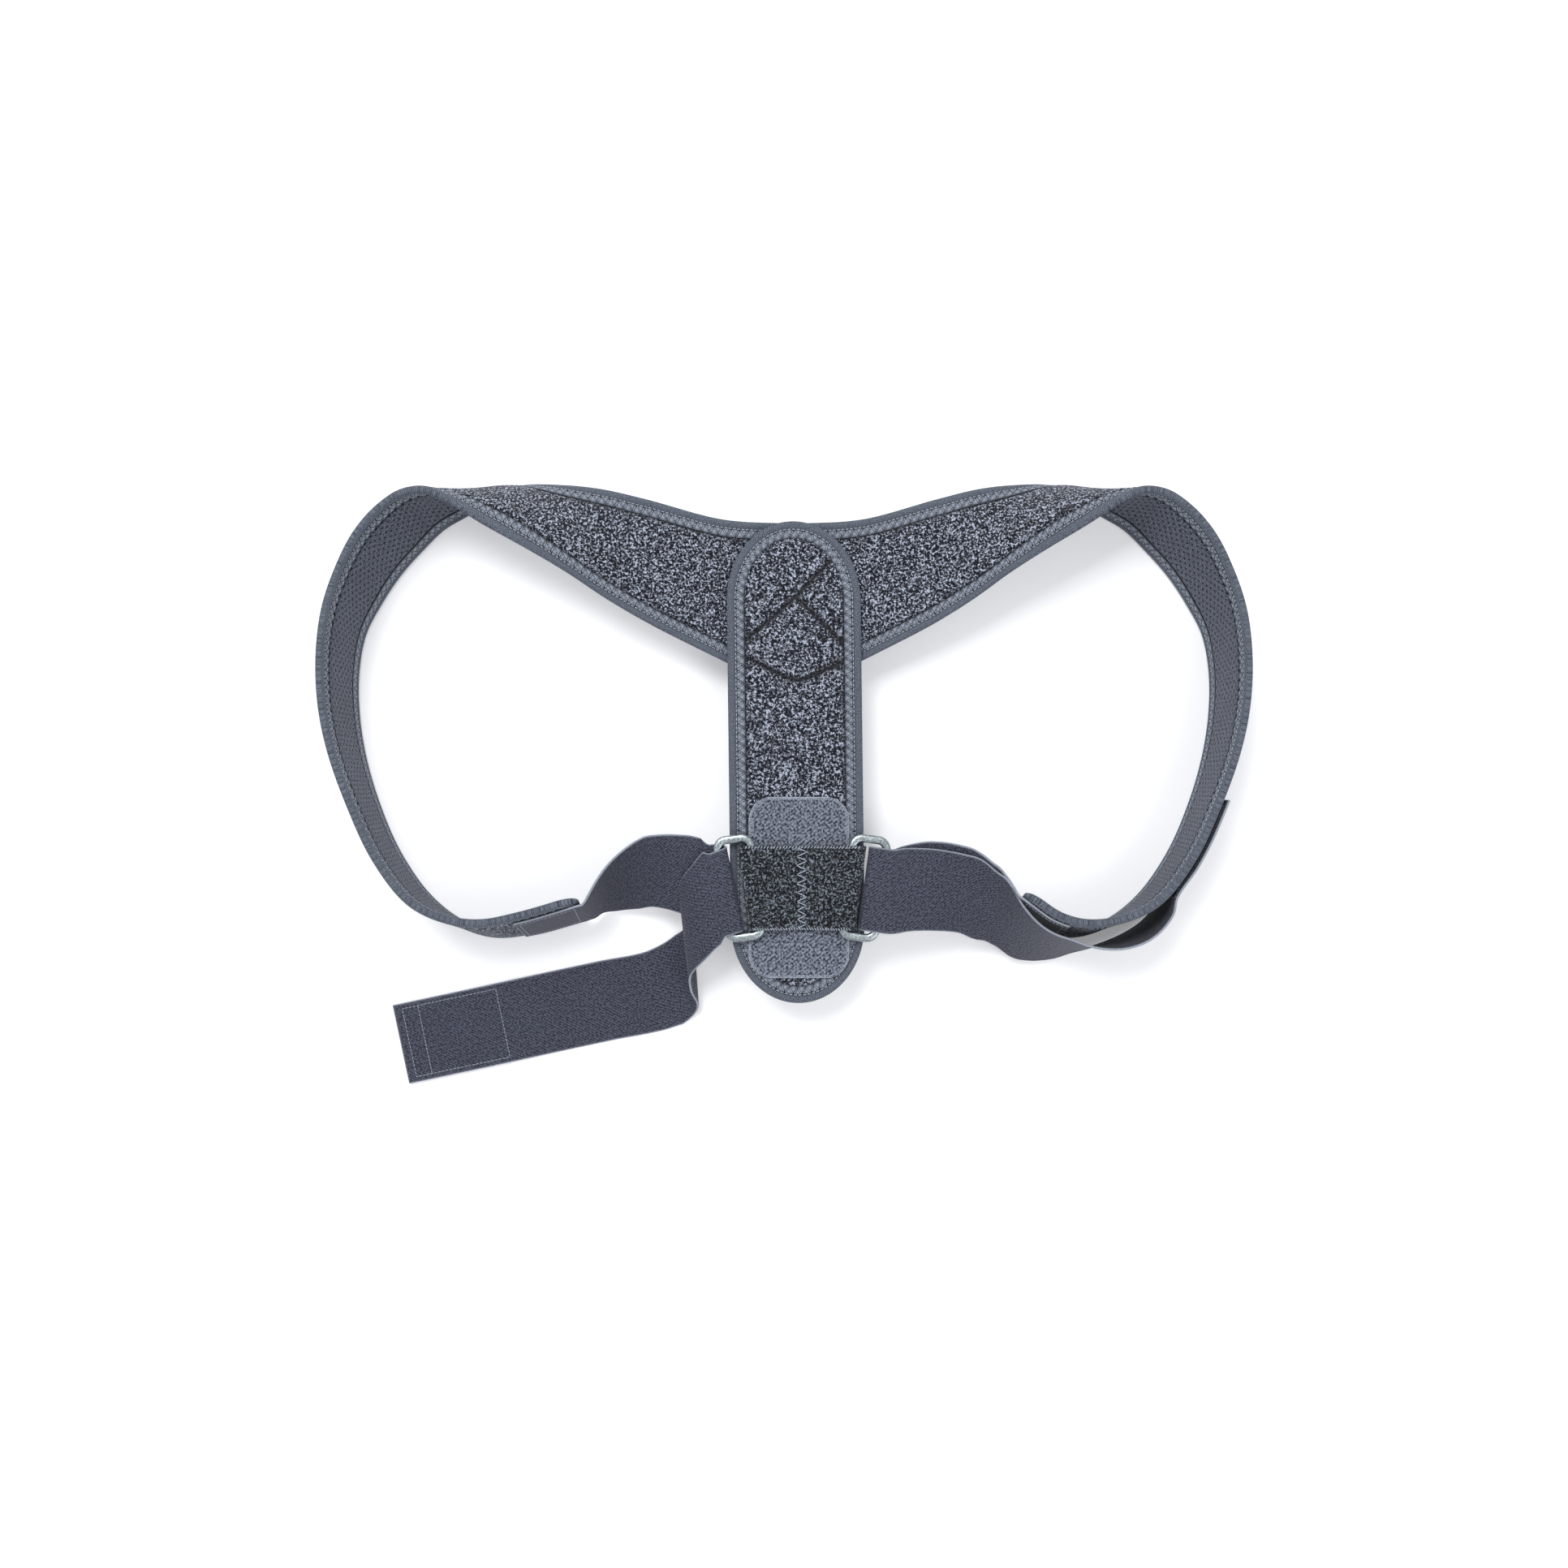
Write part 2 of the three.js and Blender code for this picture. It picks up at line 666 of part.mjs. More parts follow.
// A strap's sheet through its stations. Its width is measured square to the way it runs, so a
// station whose width lies askew reaches further along its own line.
function strapSheet(stations, face) {
  const centres = smoothCurve(stations.map(({ centre }) => centre));
  const acrosses = new THREE.CatmullRomCurve3(
    stations.map(({ across }) => across),
    false,
    "catmullrom",
    0.12,
  );
  const perStation = 6;
  const count = (stations.length - 1) * perStation;
  const samples = [];
  for (let i = 0; i <= count; i++) {
    const t = i / count;
    const centre = centres.getPoint(t);
    const across = acrosses.getPoint(t).normalize();
    const run = centres.getTangent(t);
    const skew = Math.min(0.2, run.dot(across) ** 2);
    const reach = elasticWidth / 2 / Math.sqrt(1 - skew);
    samples.push({
      a: centre.clone().addScaledVector(across, -reach),
      b: centre.clone().addScaledVector(across, reach),
      crown: 0,
    });
  }
  const sheet = new Sheet(withUps(samples, face), face);
  sheet.sections = sheet.lengths.filter((_, i) => i % (perStation / 2) === 0);
  return sheet;
}

function sheetGeometry(sheet, places, width, bottom, top) {
  let profile = null;
  const rings = places.map((along) => {
    const full = sheet.width(along);
    const inset = (full - width(full)) / 2;
    const outline = [
      [inset, top],
      [full - inset, top],
      [full - inset, bottom],
      [inset, bottom],
    ];
    profile ??= outline;
    return outline.map(([across, height]) => sheet.lifted(along, across, height));
  });
  return loft(rings, profile);
}

const onPad = boundHalf + gap + elasticHalf; // a sewn strap's middle above the pad's middle
const sewnSteps = 3;

function sewnStations(pad, length) {
  const found = [];
  for (let i = 0; i <= sewnSteps; i++) {
    found.push(padStation(pad, pad.length - length * (1 - i / sewnSteps), onPad));
  }
  found.push(padStation(pad, pad.length + strapLead, onPad));
  return found;
}

// The left strap: sewn to the pad, through the ring, down to the table and out to its free end.
function leftStrap() {
  const frame = ringFrame(-1);
  const fall = courseStations(frame, fallLeft);
  const slope = new THREE.Vector3(
    -Math.cos(freeEndDegrees * degrees),
    -Math.sin(freeEndDegrees * degrees),
    0,
  );
  const across = new THREE.Vector3(slope.y, -slope.x, 0).negate();
  const lying = elasticHalf + lyingLift;
  const onPatchToo = elasticHalf + patchThickness + gap;
  const landing = fall.at(-1).centre.clone().setZ(lying);
  const lifts = [[0.2, 0], [0.42, 0.1], [0.64, 1], [0.81, 1], [0.98, 1], [1, 1]];
  const end = lifts.map(([share, lift]) => {
    const centre = landing.clone().addScaledVector(slope, share * freeEndLength);
    return station(centre.setZ(lying + (onPatchToo - lying) * lift), across);
  });
  return strapSheet(
    [
      ...sewnStations(leftPad, sewnLengthLeft),
      ...courseStations(frame, rearLeft),
      ...ringStations(frame, leftSkewDegrees, foldSlantDegrees),
      ...fall,
      ...end,
    ],
    -1,
  );
}

// The right strap: sewn to the pad, through the ring and back round to the pad's outer face.
function rightStrap() {
  const frame = ringFrame(1);
  const onPatch = boundHalf + patchClear + patchThickness + gap + elasticHalf;
  const held = [0, 0.32, 0.64, 0.95, 1].map((share) =>
    padStation(rightPad, rightPad.length - heldBack + (1 - share) * patchLength, onPatch),
  );
  return strapSheet(
    [
      ...sewnStations(rightPad, sewnLengthRight),
      ...courseStations(frame, rearRight),
      ...ringStations(frame, 0, 0),
      ...courseStations(frame, overRight),
      ...held,
    ],
    1,
  );
}

// A hook patch on the underside of a strap, back from the strap's end.
function patchGeometry(sheet, towards) {
  const endMargin = 3;
  const start = sheet.length - patchLength;
  const places = sheet.sections.filter((at) => at > start && at < sheet.length - endMargin);
  const near = towards * (elasticHalf + gap);
  const far = towards * (elasticHalf + gap + patchThickness);
  return sheetGeometry(sheet, places, () => patchWidth, Math.min(near, far), Math.max(near, far));
}

const leftElastic = leftStrap();
const rightElastic = rightStrap();

function elasticGeometry(sheet) {
  return sheetGeometry(sheet, sheet.sections, (full) => full, -elasticHalf, elasticHalf);
}

const fabric = { color: 0x4a505e, roughness: 0.95, metalness: 0 };
const tape = { color: 0x59616d, roughness: 0.85, metalness: 0 };
const elastic = { color: 0x3c4050, roughness: 0.8, metalness: 0 };
const loopCloth = { color: 0x2c323b, roughness: 1, metalness: 0 };
const hook = { color: 0x666e7a, roughness: 0.6, metalness: 0 };
const metal = { color: 0x9aa3a3, roughness: 0.35, metalness: 0.8 };

const part = new THREE.Group();

function add(name, geometry, finish) {
  const mesh = new THREE.Mesh(geometry, new THREE.MeshStandardMaterial(finish));
  mesh.name = name;
  part.add(mesh);
  return mesh;
}

add("pad_left", padGeometry(leftPad), fabric);
add("pad_right", padGeometry(rightPad), fabric);
add("pad_binding_left", padBindingGeometry(leftPad), tape);
add("pad_binding_right", padBindingGeometry(rightPad), tape);
add("spine_strap", spineGeometry(), fabric);
add("spine_binding", spineBindingGeometry(), tape);
add("hook_tab", tabGeometry(), hook);
add("ring_band", bandGeometry(), loopCloth);
for (const [name, side] of [["ring_left", -1], ["ring_right", 1]]) {
  const ring = add(name, ringGeometry(), metal);
  ring.position.copy(ringFrame(side).centre);
  ring.rotation.z = -side * ringTiltDegrees * degrees;
}
add("elastic_left", elasticGeometry(leftElastic), elastic);
add("elastic_right", elasticGeometry(rightElastic), elastic);
add("hook_patch_left", patchGeometry(leftElastic, 1), hook);
add("hook_patch_right", patchGeometry(rightElastic, 1), hook);

// The origin is under the middle of the part, on the table.
part.updateMatrixWorld(true);
const bounds = new THREE.Box3().setFromObject(part, true);
const centre = bounds.getCenter(new THREE.Vector3());
part.position.set(-centre.x, -centre.y, -bounds.min.z);

export default part;
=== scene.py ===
# %% [markdown]
# A posture corrector lies on a pale table and is seen from straight above. It is made almost
# wholly of strips of cloth, so this lesson treats nearly every piece as a strip: a surface with a
# direction along it and a direction across it, both in millimetres. Once a strip can say where a
# place on it lies in space, foam, tape, webbing and stitches are all laid on it in the same flat
# numbers that a tailor would use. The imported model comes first, because every piece has to sit
# where it says.

import bpy
import numpy as np
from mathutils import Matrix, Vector


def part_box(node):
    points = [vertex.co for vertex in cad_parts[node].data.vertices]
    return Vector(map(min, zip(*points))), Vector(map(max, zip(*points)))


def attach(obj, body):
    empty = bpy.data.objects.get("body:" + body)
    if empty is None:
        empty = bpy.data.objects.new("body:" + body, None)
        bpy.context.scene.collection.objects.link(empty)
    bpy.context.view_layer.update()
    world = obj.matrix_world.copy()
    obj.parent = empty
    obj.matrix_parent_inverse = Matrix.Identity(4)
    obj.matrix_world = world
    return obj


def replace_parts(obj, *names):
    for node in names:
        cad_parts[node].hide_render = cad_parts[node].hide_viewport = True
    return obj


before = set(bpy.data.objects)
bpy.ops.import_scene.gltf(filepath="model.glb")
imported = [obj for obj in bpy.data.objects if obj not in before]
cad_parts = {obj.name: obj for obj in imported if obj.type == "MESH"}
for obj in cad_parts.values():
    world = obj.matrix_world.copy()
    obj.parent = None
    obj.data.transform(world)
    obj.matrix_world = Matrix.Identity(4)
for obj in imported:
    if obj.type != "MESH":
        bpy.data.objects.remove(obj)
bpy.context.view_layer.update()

MM = 0.001
TAU = 2 * np.pi

# %% [markdown]
# The sizes below are the ones that the solids were drawn from, in millimetres. A real corrector
# of this kind is sewn from 4 mm foam with brushed loop pile outside and perforated lining inside,
# with folded tape round every edge and 50 mm elastic webbing for the straps. The table z is 0.
# What differs between the left and the right side is kept under -1 and 1.

# %% Name the sizes
LOOP_HALF, LOOP_DROP, SHOULDER_LINE = 270.3, 250.0, 171.0
PAD_WIDTH, PAD_EDGE_HALF, PAD_END_RADIUS = 56.0, 1.0, 12.0
YOKE_DROP, YOKE_WIDE, YOKE_OVERHANG = 0.466, 1.8, 0.5
SPINE_SHIFT, SPINE_LEAN = 5.3, 3.4
PAD_STAND = 1.7
TAPE, TAPE_OVERLAP, ZIGZAG, GAP = 1.1, 9.0, 5.3, 0.3
SPINE_WIDTH, SPINE_LENGTH, SPINE_ROUND = 77.4, 285.5, 46.0
TAB_WIDTH, TAB_LENGTH, TAB_THICKNESS, TAB_ROUND, TAB_SHIFT = 60.0, 108.0, 1.4, 14.0, 3.6
SLIDER_HEIGHT = 68.0
BAND_WIDTH, BAND_THICKNESS, BAND_SHIFT, BAND_REACH = 50.0, 1.2, 5.3, 35.0
RING_LENGTH, RING_WIDTH, RING_BAR, RING_THICKNESS, RING_CORNER = 63.5, 25.0, 5.0, 3.5, 8.0
RING_SPREAD, RING_TILT = 37.1, np.radians(7.5)
ELASTIC_WIDTH, ELASTIC_THICKNESS = 50.0, 1.4
SEWN, FOLD_REACH = {-1: 38, 1: 30}, {-1: 1.6, 1: 4.6}
PATCH_LENGTH, PATCH_WIDTH, PATCH_THICKNESS, PATCH_CLEAR = 62.0, 46.0, 1.5, 1.2

SLOT_HALF = PAD_EDGE_HALF + GAP
BOUND_HALF = SLOT_HALF + TAPE
ELASTIC_HALF = ELASTIC_THICKNESS / 2
ON_PAD = BOUND_HALF + GAP + ELASTIC_HALF

# %% [markdown]
# The heights pile up from the table: the yoke is carried half way up the standing loops, the
# spine strap is sewn over it, and the hook tab, the band and the rings lie on the spine strap in
# turn.

# %% Stack the heights
YOKE_Z = PAD_STAND + 0.5 * PAD_WIDTH
SPINE_Z = YOKE_Z + 2 * BOUND_HALF + GAP
TAB_Z = SPINE_Z + BOUND_HALF + GAP
BAND_Z = TAB_Z + TAB_THICKNESS + GAP
RING_Z = BAND_Z + BAND_THICKNESS + GAP + RING_THICKNESS / 2
BAND_TOP_Z = RING_Z + RING_THICKNESS / 2 + GAP + BAND_THICKNESS
SPINE_TOP_Y = SHOULDER_LINE - YOKE_DROP * LOOP_DROP + YOKE_WIDE * PAD_WIDTH + YOKE_OVERHANG
SPINE_BOTTOM_Y = SPINE_TOP_Y - SPINE_LENGTH
SLIDER_Y = SPINE_BOTTOM_Y + SLIDER_HEIGHT

tab_low, tab_high = (np.array(corner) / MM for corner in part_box("hook_tab"))
TAB_CENTRE = np.array([SPINE_SHIFT + TAB_SHIFT, SLIDER_Y, TAB_Z + TAB_THICKNESS / 2])
SHIFT = (tab_low + tab_high) / 2 - TAB_CENTRE
print("yoke", YOKE_Z, "spine", SPINE_Z, "rings", RING_Z, "shift", SHIFT.round(2))

# %% [markdown]
# The camera looks straight down from 850 mm over the table. That distance comes from the elastic:
# it looks about a sixteenth wider up at the rings than where it lies on the table. The focal
# length then follows from how much table the frame takes in. The floor is one plain pale sheet.

# %% Place the camera and the floor
CAMERA_HEIGHT, FRAME_WIDTH, SENSOR = 850.0, 978.7, 36.0
FAR = 4

camera = bpy.data.objects.new("camera", bpy.data.cameras.new("camera"))
camera.data.sensor_width = SENSOR
camera.data.lens = SENSOR * CAMERA_HEIGHT / FRAME_WIDTH
camera.location = (np.array([0, 0, CAMERA_HEIGHT]) + SHIFT) * MM
bpy.context.collection.objects.link(camera)
bpy.context.scene.camera = camera

floor_mesh = bpy.data.meshes.new("floor")
corners = [(x, y, 0) for x, y in ((-FAR, -FAR), (FAR, -FAR), (FAR, FAR), (-FAR, FAR))]
floor_mesh.from_pydata(corners, [], [(0, 1, 2, 3)])
floor = bpy.data.objects.new("floor", floor_mesh)
bpy.context.collection.objects.link(floor)
print("lens", round(camera.data.lens, 2))

# %% [markdown]
# The light is a broad soft studio light from above the shoulders and a weaker one from the right,
# with a bright even surround. Soft light suits cloth: hard light would turn every fleck into a
# spike. The plain tone curve keeps a white table white, as in a catalogue picture.

# %% Light the table
def soft_light(name, place, width, power):
    """A square area light at place (metres) that points at the middle of the part."""
    light = bpy.data.objects.new(name, bpy.data.lights.new(name, "AREA"))
    light.data.shape = "SQUARE"
    light.data.size = width
    light.data.energy = power
    light.location = place
    light.rotation_euler = Vector(-np.array(place)).to_track_quat("-Z", "Y").to_euler()
    bpy.context.collection.objects.link(light)


soft_light("key", (-0.45, 0.85, 1.7), width=0.7, power=20)
soft_light("fill", (0.9, -0.6, 1.6), width=1.0, power=7)

world = bpy.data.worlds.new("surround")
world.use_nodes = True
world.node_tree.nodes["Background"].inputs["Color"].default_value = (0.93, 0.95, 1.0, 1)
world.node_tree.nodes["Background"].inputs["Strength"].default_value = 0.62
bpy.context.scene.world = world
bpy.context.scene.view_settings.view_transform = "Standard"

# %% [markdown]
# Four small helpers carry the whole lesson. One eases a step, one falls off like a bell, one
# makes vectors one unit long, and one draws a smooth curve through rows of numbers, so a
# listed table of sections becomes a curve.

# %% Curves through tables
def smoothstep(t):
    """0 below 0, 1 above 1, and 3t^2 - 2t^3 between."""
    t = np.clip(t, 0, 1)
    return t * t * (3 - 2 * t)


def bell(distance, width):
    """1 in the middle, falling off to both sides: exp(-(distance / width)^2)."""
    return np.exp(-((distance / width) ** 2))


def unit(vectors):
    """Each vector over its own length."""
    return vectors / np.linalg.norm(vectors, axis=-1, keepdims=True)


def through(points, places, ease=None):
    """A curve through points, at places counted in points.

    Each span is the cubic whose end slopes come from the neighbours: from the square roots of the
    distances between points, or, with ease, from ease times the neighbours' difference.
    """
    points = np.asarray(points, float)
    ends = np.vstack([2 * points[0] - points[1], points, 2 * points[-1] - points[-2]])
    first = np.clip(np.floor(places).astype(int), 0, len(points) - 2)
    p0, p1, p2, p3 = (ends[first + k] for k in range(4))
    t = (places - first)[:, None]
    if ease is None:
        d0, d1, d2 = (
            np.sqrt(np.linalg.norm(q - p, axis=1, keepdims=True))
            for p, q in ((p0, p1), (p1, p2), (p2, p3))
        )
        out = ((p1 - p0) / d0 - (p2 - p0) / (d0 + d1) + (p2 - p1) / d1) * d1
        back = ((p2 - p1) / d1 - (p3 - p1) / (d1 + d2) + (p3 - p2) / d2) * d1
    else:
        out, back = ease * (p2 - p0), ease * (p3 - p1)
    square = 3 * (p2 - p1) - 2 * out - back
    cube = 2 * (p1 - p2) + out + back
    return p1 + out * t + square * t**2 + cube * t**3


print("half way through 0, 1, 4:", through([[0.0], [1.0], [4.0]], np.array([0.5, 1.5])).ravel())

# %% [markdown]
# A strip of cloth is two edge curves with a straight or gently crowned section between them. The
# class below turns flat tailor's numbers (along, across, height over the cloth) into places in
# space, for whole arrays at once.

# %% The strip
class Strip:
    """A surface between edges a and b: a + (b - a) s + up 4 crown s (1 - s), s a share across."""

    def __init__(self, a, b, crown, side):
        """Rows of places on both edges, the crown's height at each, and which way is up."""
        self.a, self.b, self.crown, self.side = a, b, crown, side
        middle = (a + b) / 2
        self.lengths = np.r_[0, np.cumsum(np.linalg.norm(np.diff(middle, axis=0), axis=1))]
        self.length = self.lengths[-1]
        ends = np.vstack([middle[:1], middle, middle[-1:]])
        self.up = unit(np.cross(ends[2:] - ends[:-2], b - a)) * side

    def at(self, along, *curves):
        """Each curve at distance along, straight on past the ends."""
        after = np.clip(np.searchsorted(self.lengths, along), 1, len(self.lengths) - 1)
        span = self.lengths[after] - self.lengths[after - 1]
        t = ((along - self.lengths[after - 1]) / span)[..., None]
        return [curve[after - 1] * (1 - t) + curve[after] * t for curve in curves]

    def width(self, along):
        """Distance between the edges."""
        a, b = self.at(np.asarray(along, float), self.a, self.b)
        return np.linalg.norm(b - a, axis=-1)

    def point(self, along, across):
        """The place on the strip at (along, across)."""
        a, b, up, crown = self.at(along, self.a, self.b, self.up, self.crown[:, None])
        share = across[..., None] / np.linalg.norm(b - a, axis=-1, keepdims=True)
        return a + (b - a) * share + up * 4 * crown * share * (1 - share)

    def normal(self, along, across):
        """The cross product of two short steps, one along and one across."""
        step = 0.8
        lengthwise = self.point(along + step, across) - self.point(along - step, across)
        crosswise = self.point(along, across + step) - self.point(along, across - step)
        return unit(np.cross(lengthwise, crosswise)) * self.side

    def place(self, along, across, height):
        """The place at height over the strip's face."""
        along, across, height = np.broadcast_arrays(along, across, height)
        over = self.normal(along, across) * height[..., None]
        return self.point(along.astype(float), across.astype(float)) + over


print("strip ready")

# %% [markdown]
# Each shoulder pad is one strip that starts flat in the yoke, turns up over the shoulder and goes
# round the loop on its edge. The table has a row for each section: where its upper edge is, how
# high, and the step to its other edge, as shares of the loop's half width, its depth and the
# pad's width, with the rise of its crown last. A smooth curve takes 24 steps from row to row.

# %% The pads' strips
PAD_ROWS = [
    [0.0, YOKE_DROP, 0.5, 0.0, YOKE_WIDE, 0.5, 0.0],
    [0.151, 0.384, 0.5, 0.02, 1.48, 0.5, 0.0],
    [0.314, 0.296, 0.63, 0.04, 1.28, 0.62, 0.01],
    [0.402, 0.24, 0.74, 0.06, 1.13, 0.62, 0.07],
    [0.487, 0.177, 0.84, 0.1, 0.92, 0.49, 0.14],
    [0.57, 0.122, 0.92, 0.06, 0.71, 0.3, 0.18],
    [0.65, 0.071, 0.97, -0.04, 0.47, 0.12, 0.16],
    [0.714, 0.028, 1.0, -0.13, 0.19, 0.03, 0.11],
    [0.773, 0.0, 1.0, -0.18, -0.06, 0.012, 0.06],
    [0.824, 0.006, 1.0, -0.18, -0.18, 0.008, 0.03],
    [0.876, 0.044, 1.0, -0.19, -0.24, 0.0, 0.0],
    [0.923, 0.104, 1.0, -0.17, -0.25, 0.0, 0.0],
    [0.96, 0.184, 1.0, -0.13, -0.22, 0.0, 0.0],
    [0.988, 0.276, 1.0, -0.09, -0.15, 0.0, 0.0],
    [1.0, 0.384, 1.0, -0.07, -0.08, 0.0, 0.0],
    [0.996, 0.496, 1.0, -0.05, -0.03, 0.0, 0.0],
    [0.976, 0.604, 1.0, -0.02, -0.02, 0.0, 0.0],
    [0.934, 0.732, 1.0, 0.03, 0.01, 0.0, 0.0],
    [0.878, 0.86, 1.0, 0.06, 0.02, 0.0, 0.0],
    [0.806, 0.958, 1.0, 0.07, -0.03, 0.0, 0.0],
    [0.731, 0.998, 1.0, 0.07, -0.14, 0.0, 0.0],
    [0.656, 1.008, 1.0, 0.05, -0.22, 0.0, 0.0],
]
PAD_TAILS = {
    -1: [[0.568, 0.99, 1.0, 0.04, -0.26, 0.0, 0.0], [0.449, 0.952, 1.0, 0.06, -0.28, 0.0, 0.0]],
    1: [[0.595, 0.991, 1.0, 0.05, -0.25, 0.0, 0.0], [0.524, 0.938, 1.0, 0.05, -0.26, 0.0, 0.0]],
}
SHOULDER_ROW, STEPS = 8, 24


def pad_strip(side):
    """Both edges of a pad as smooth curves through its rows, side -1 left and 1 right."""
    x, y, rise, across_x, across_y, lift, crown = np.array(PAD_ROWS + PAD_TAILS[side]).T
    count = np.arange(len(x))
    shift = SPINE_SHIFT * (1 - smoothstep(count / SHOULDER_ROW))
    edge_x = side * (GAP / 2 + x * LOOP_HALF) + shift
    edge_y = SHOULDER_LINE - y * LOOP_DROP
    other_x = edge_x + side * across_x * PAD_WIDTH
    other_y = edge_y + across_y * PAD_WIDTH
    places = np.linspace(0, len(x) - 1, (len(x) - 1) * STEPS + 1)
    a = through(np.c_[edge_x, edge_y, PAD_STAND + rise * PAD_WIDTH], places)
    b = through(np.c_[other_x, other_y, PAD_STAND + lift * PAD_WIDTH], places)
    swell = PAD_WIDTH * through(np.c_[crown, count], places)[:, 0]
    return Strip(a, b, swell, side)


pads = {side: pad_strip(side) for side in (-1, 1)}
print("pad lengths", [round(pad.length) for pad in pads.values()])

# %% [markdown]
# The elastic straps are strips too, but they twist and turn through rings, so they are drawn from
# stations: the middle of the strap and the direction of its width. Between the stations the strap
# keeps its 50 mm width, because webbing bends and twists but hardly stretches when it lies slack.
# Stations given one by one would make it flutter, so the width's direction is then averaged
# along the strap, except where the strap lies on something.

# %% The straps' stations
PAST_PAD, PAST_RING = 3, 3
BELL_SPREAD, BELL_STEP, FADE = 14.0, 0.5, 11.0
WIDTH_EASE, MOST_SKEW = 0.12, 0.2


def slanted(slant, dip):
    """The width's direction: slant degrees off straight down the picture, dipping dip degrees."""
    plan, fall = np.radians(slant), np.radians(dip)
    return np.array([np.cos(fall) * np.sin(plan), -np.cos(fall) * np.cos(plan), -np.sin(fall)])


def ring_axes(side):
    """The ring's middle, its direction out from the spine and its direction along the bars."""
    middle = np.array([SPINE_SHIFT + BAND_SHIFT + side * RING_SPREAD, SLIDER_Y, RING_Z])
    out = np.array([side * np.cos(RING_TILT), -np.sin(RING_TILT), 0])
    top = np.array([side * np.sin(RING_TILT), np.cos(RING_TILT), 0])
    return middle, out, top


def course(side, rows):
    """Stations beside a ring from rows of shares of the strap's width and the ring's height."""
    middle = ring_axes(side)[0]
    return [
        (middle * [1, 1, high] + np.array([x, y, 0]) * ELASTIC_WIDTH, slanted(slant, dip))
        for x, y, high, slant, dip in rows
    ]


def through_ring(side, skew, slant):
    """In under the outer bar, up through the slot in a half circle, and out over the bar.

    The strap crosses the bar skew degrees askew, and its width is turned by slant degrees.
    """
    middle, out, top = ring_axes(side)
    turn_half = RING_THICKNESS / 2 + GAP + ELASTIC_HALF
    turn_at = RING_WIDTH / 2 - RING_BAR - FOLD_REACH[side]
    lead = RING_WIDTH / 2 + PAST_RING - turn_at
    half = np.pi * turn_half / 2
    turned = np.radians(slant)
    across = np.array([
        -top[0] * np.cos(turned) + top[1] * np.sin(turned),
        -top[0] * np.sin(turned) - top[1] * np.cos(turned),
        0,
    ])

    def at(outwards, travelled, height):
        """A station so far out from the ring's middle, sideways by the skew's drift."""
        drift = -top * travelled * np.tan(np.radians(skew))
        return middle + out * outwards + drift + [0, 0, height], across

    under = [at(turn_at + lead * s, -half - lead * s, -turn_half) for s in (1, 0.5)]
    angles = np.linspace(0, np.pi, 7)
    turn = [at(turn_at - turn_half * np.sin(t), turn_half * t - half, -turn_half * np.cos(t))
            for t in angles]
    over = [at(turn_at + lead * s, half + lead * s, turn_half) for s in (0.5, 1)]
    return under + turn + over


def on_pad(side, along, offset):
    """A station that lies offset over the outer face of a pad."""
    pad = pads[side]
    a, b = pad.at(np.array([along]), pad.a, pad.b)
    across = np.linalg.norm(b - a, axis=-1) / 2
    return pad.place(np.array([along]), across, np.array([offset]))[0], unit(b - a)[0]


def sewn(side):
    """Stations where the strap is sewn along the pad's end, and a little way past it."""
    end = pads[side].length
    before = [SEWN[side] * (1 - share) for share in (0, 1 / 3, 2 / 3, 1)]
    return [on_pad(side, end - length, ON_PAD) for length in before + [-PAST_PAD]]


def eased_turn(far, across, held):
    """The width's direction averaged over a bell, except between the stations of a held pair."""
    grid = np.arange(0, far[-1], BELL_STEP)
    reach = 3 * BELL_SPREAD
    weights = np.exp(-((np.arange(-reach, reach + BELL_STEP, BELL_STEP) / BELL_SPREAD) ** 2) / 2)
    weights = weights / weights.sum()
    level = []
    for column in across.T:
        padded = np.pad(np.interp(grid, far, column), len(weights) // 2, mode="edge")
        level.append(np.interp(far, grid, np.convolve(padded, weights, "valid")))
    past = [np.maximum(far[STEPS * i] - far, far - far[STEPS * j]) for i, j in held]
    share = smoothstep(np.min(past, axis=0) / FADE)[:, None]
    return unit(across + (np.stack(level, axis=1) - across) * share)


def strap_strip(stations, side, held):
    """The strap through its stations: half its width to each side of the middle.

    Where the width lies askew to the course, it is longer by 1 / cosine, so the webbing keeps it.
    """
    places = np.linspace(0, len(stations) - 1, (len(stations) - 1) * STEPS + 1)
    middles = np.array([middle for middle, _ in stations])
    widths = np.array([across for _, across in stations])
    centre = through(middles, places)
    across = unit(through(widths, places, ease=WIDTH_EASE))
    far = np.r_[0, np.cumsum(np.linalg.norm(np.diff(centre, axis=0), axis=1))]
    across = eased_turn(far, across, held)
    run = unit(through(middles, places + 1e-3) - through(middles, places - 1e-3))
    skew = np.minimum(MOST_SKEW, (run * across).sum(axis=1) ** 2)
    reach = (ELASTIC_WIDTH / 2 / np.sqrt(1 - skew))[:, None] * across
    return Strip(centre - reach, centre + reach, np.zeros(len(places)), side)


print("left ring at", ring_axes(-1)[0].round(1), "right ring at", ring_axes(1)[0].round(1))

# %% [markdown]
# The left strap leaves the pad, turns over its ring's outer bar, drops to the table in an S and
# lies out to its free end. The right strap turns over its bar too, 3 mm further in, goes back
# round the lower stretch of its loop on its edge and is hooked to the loop's outer face. A row is
# a place beside the ring in widths of the strap, a height as a share of the ring's, and two
# angles.

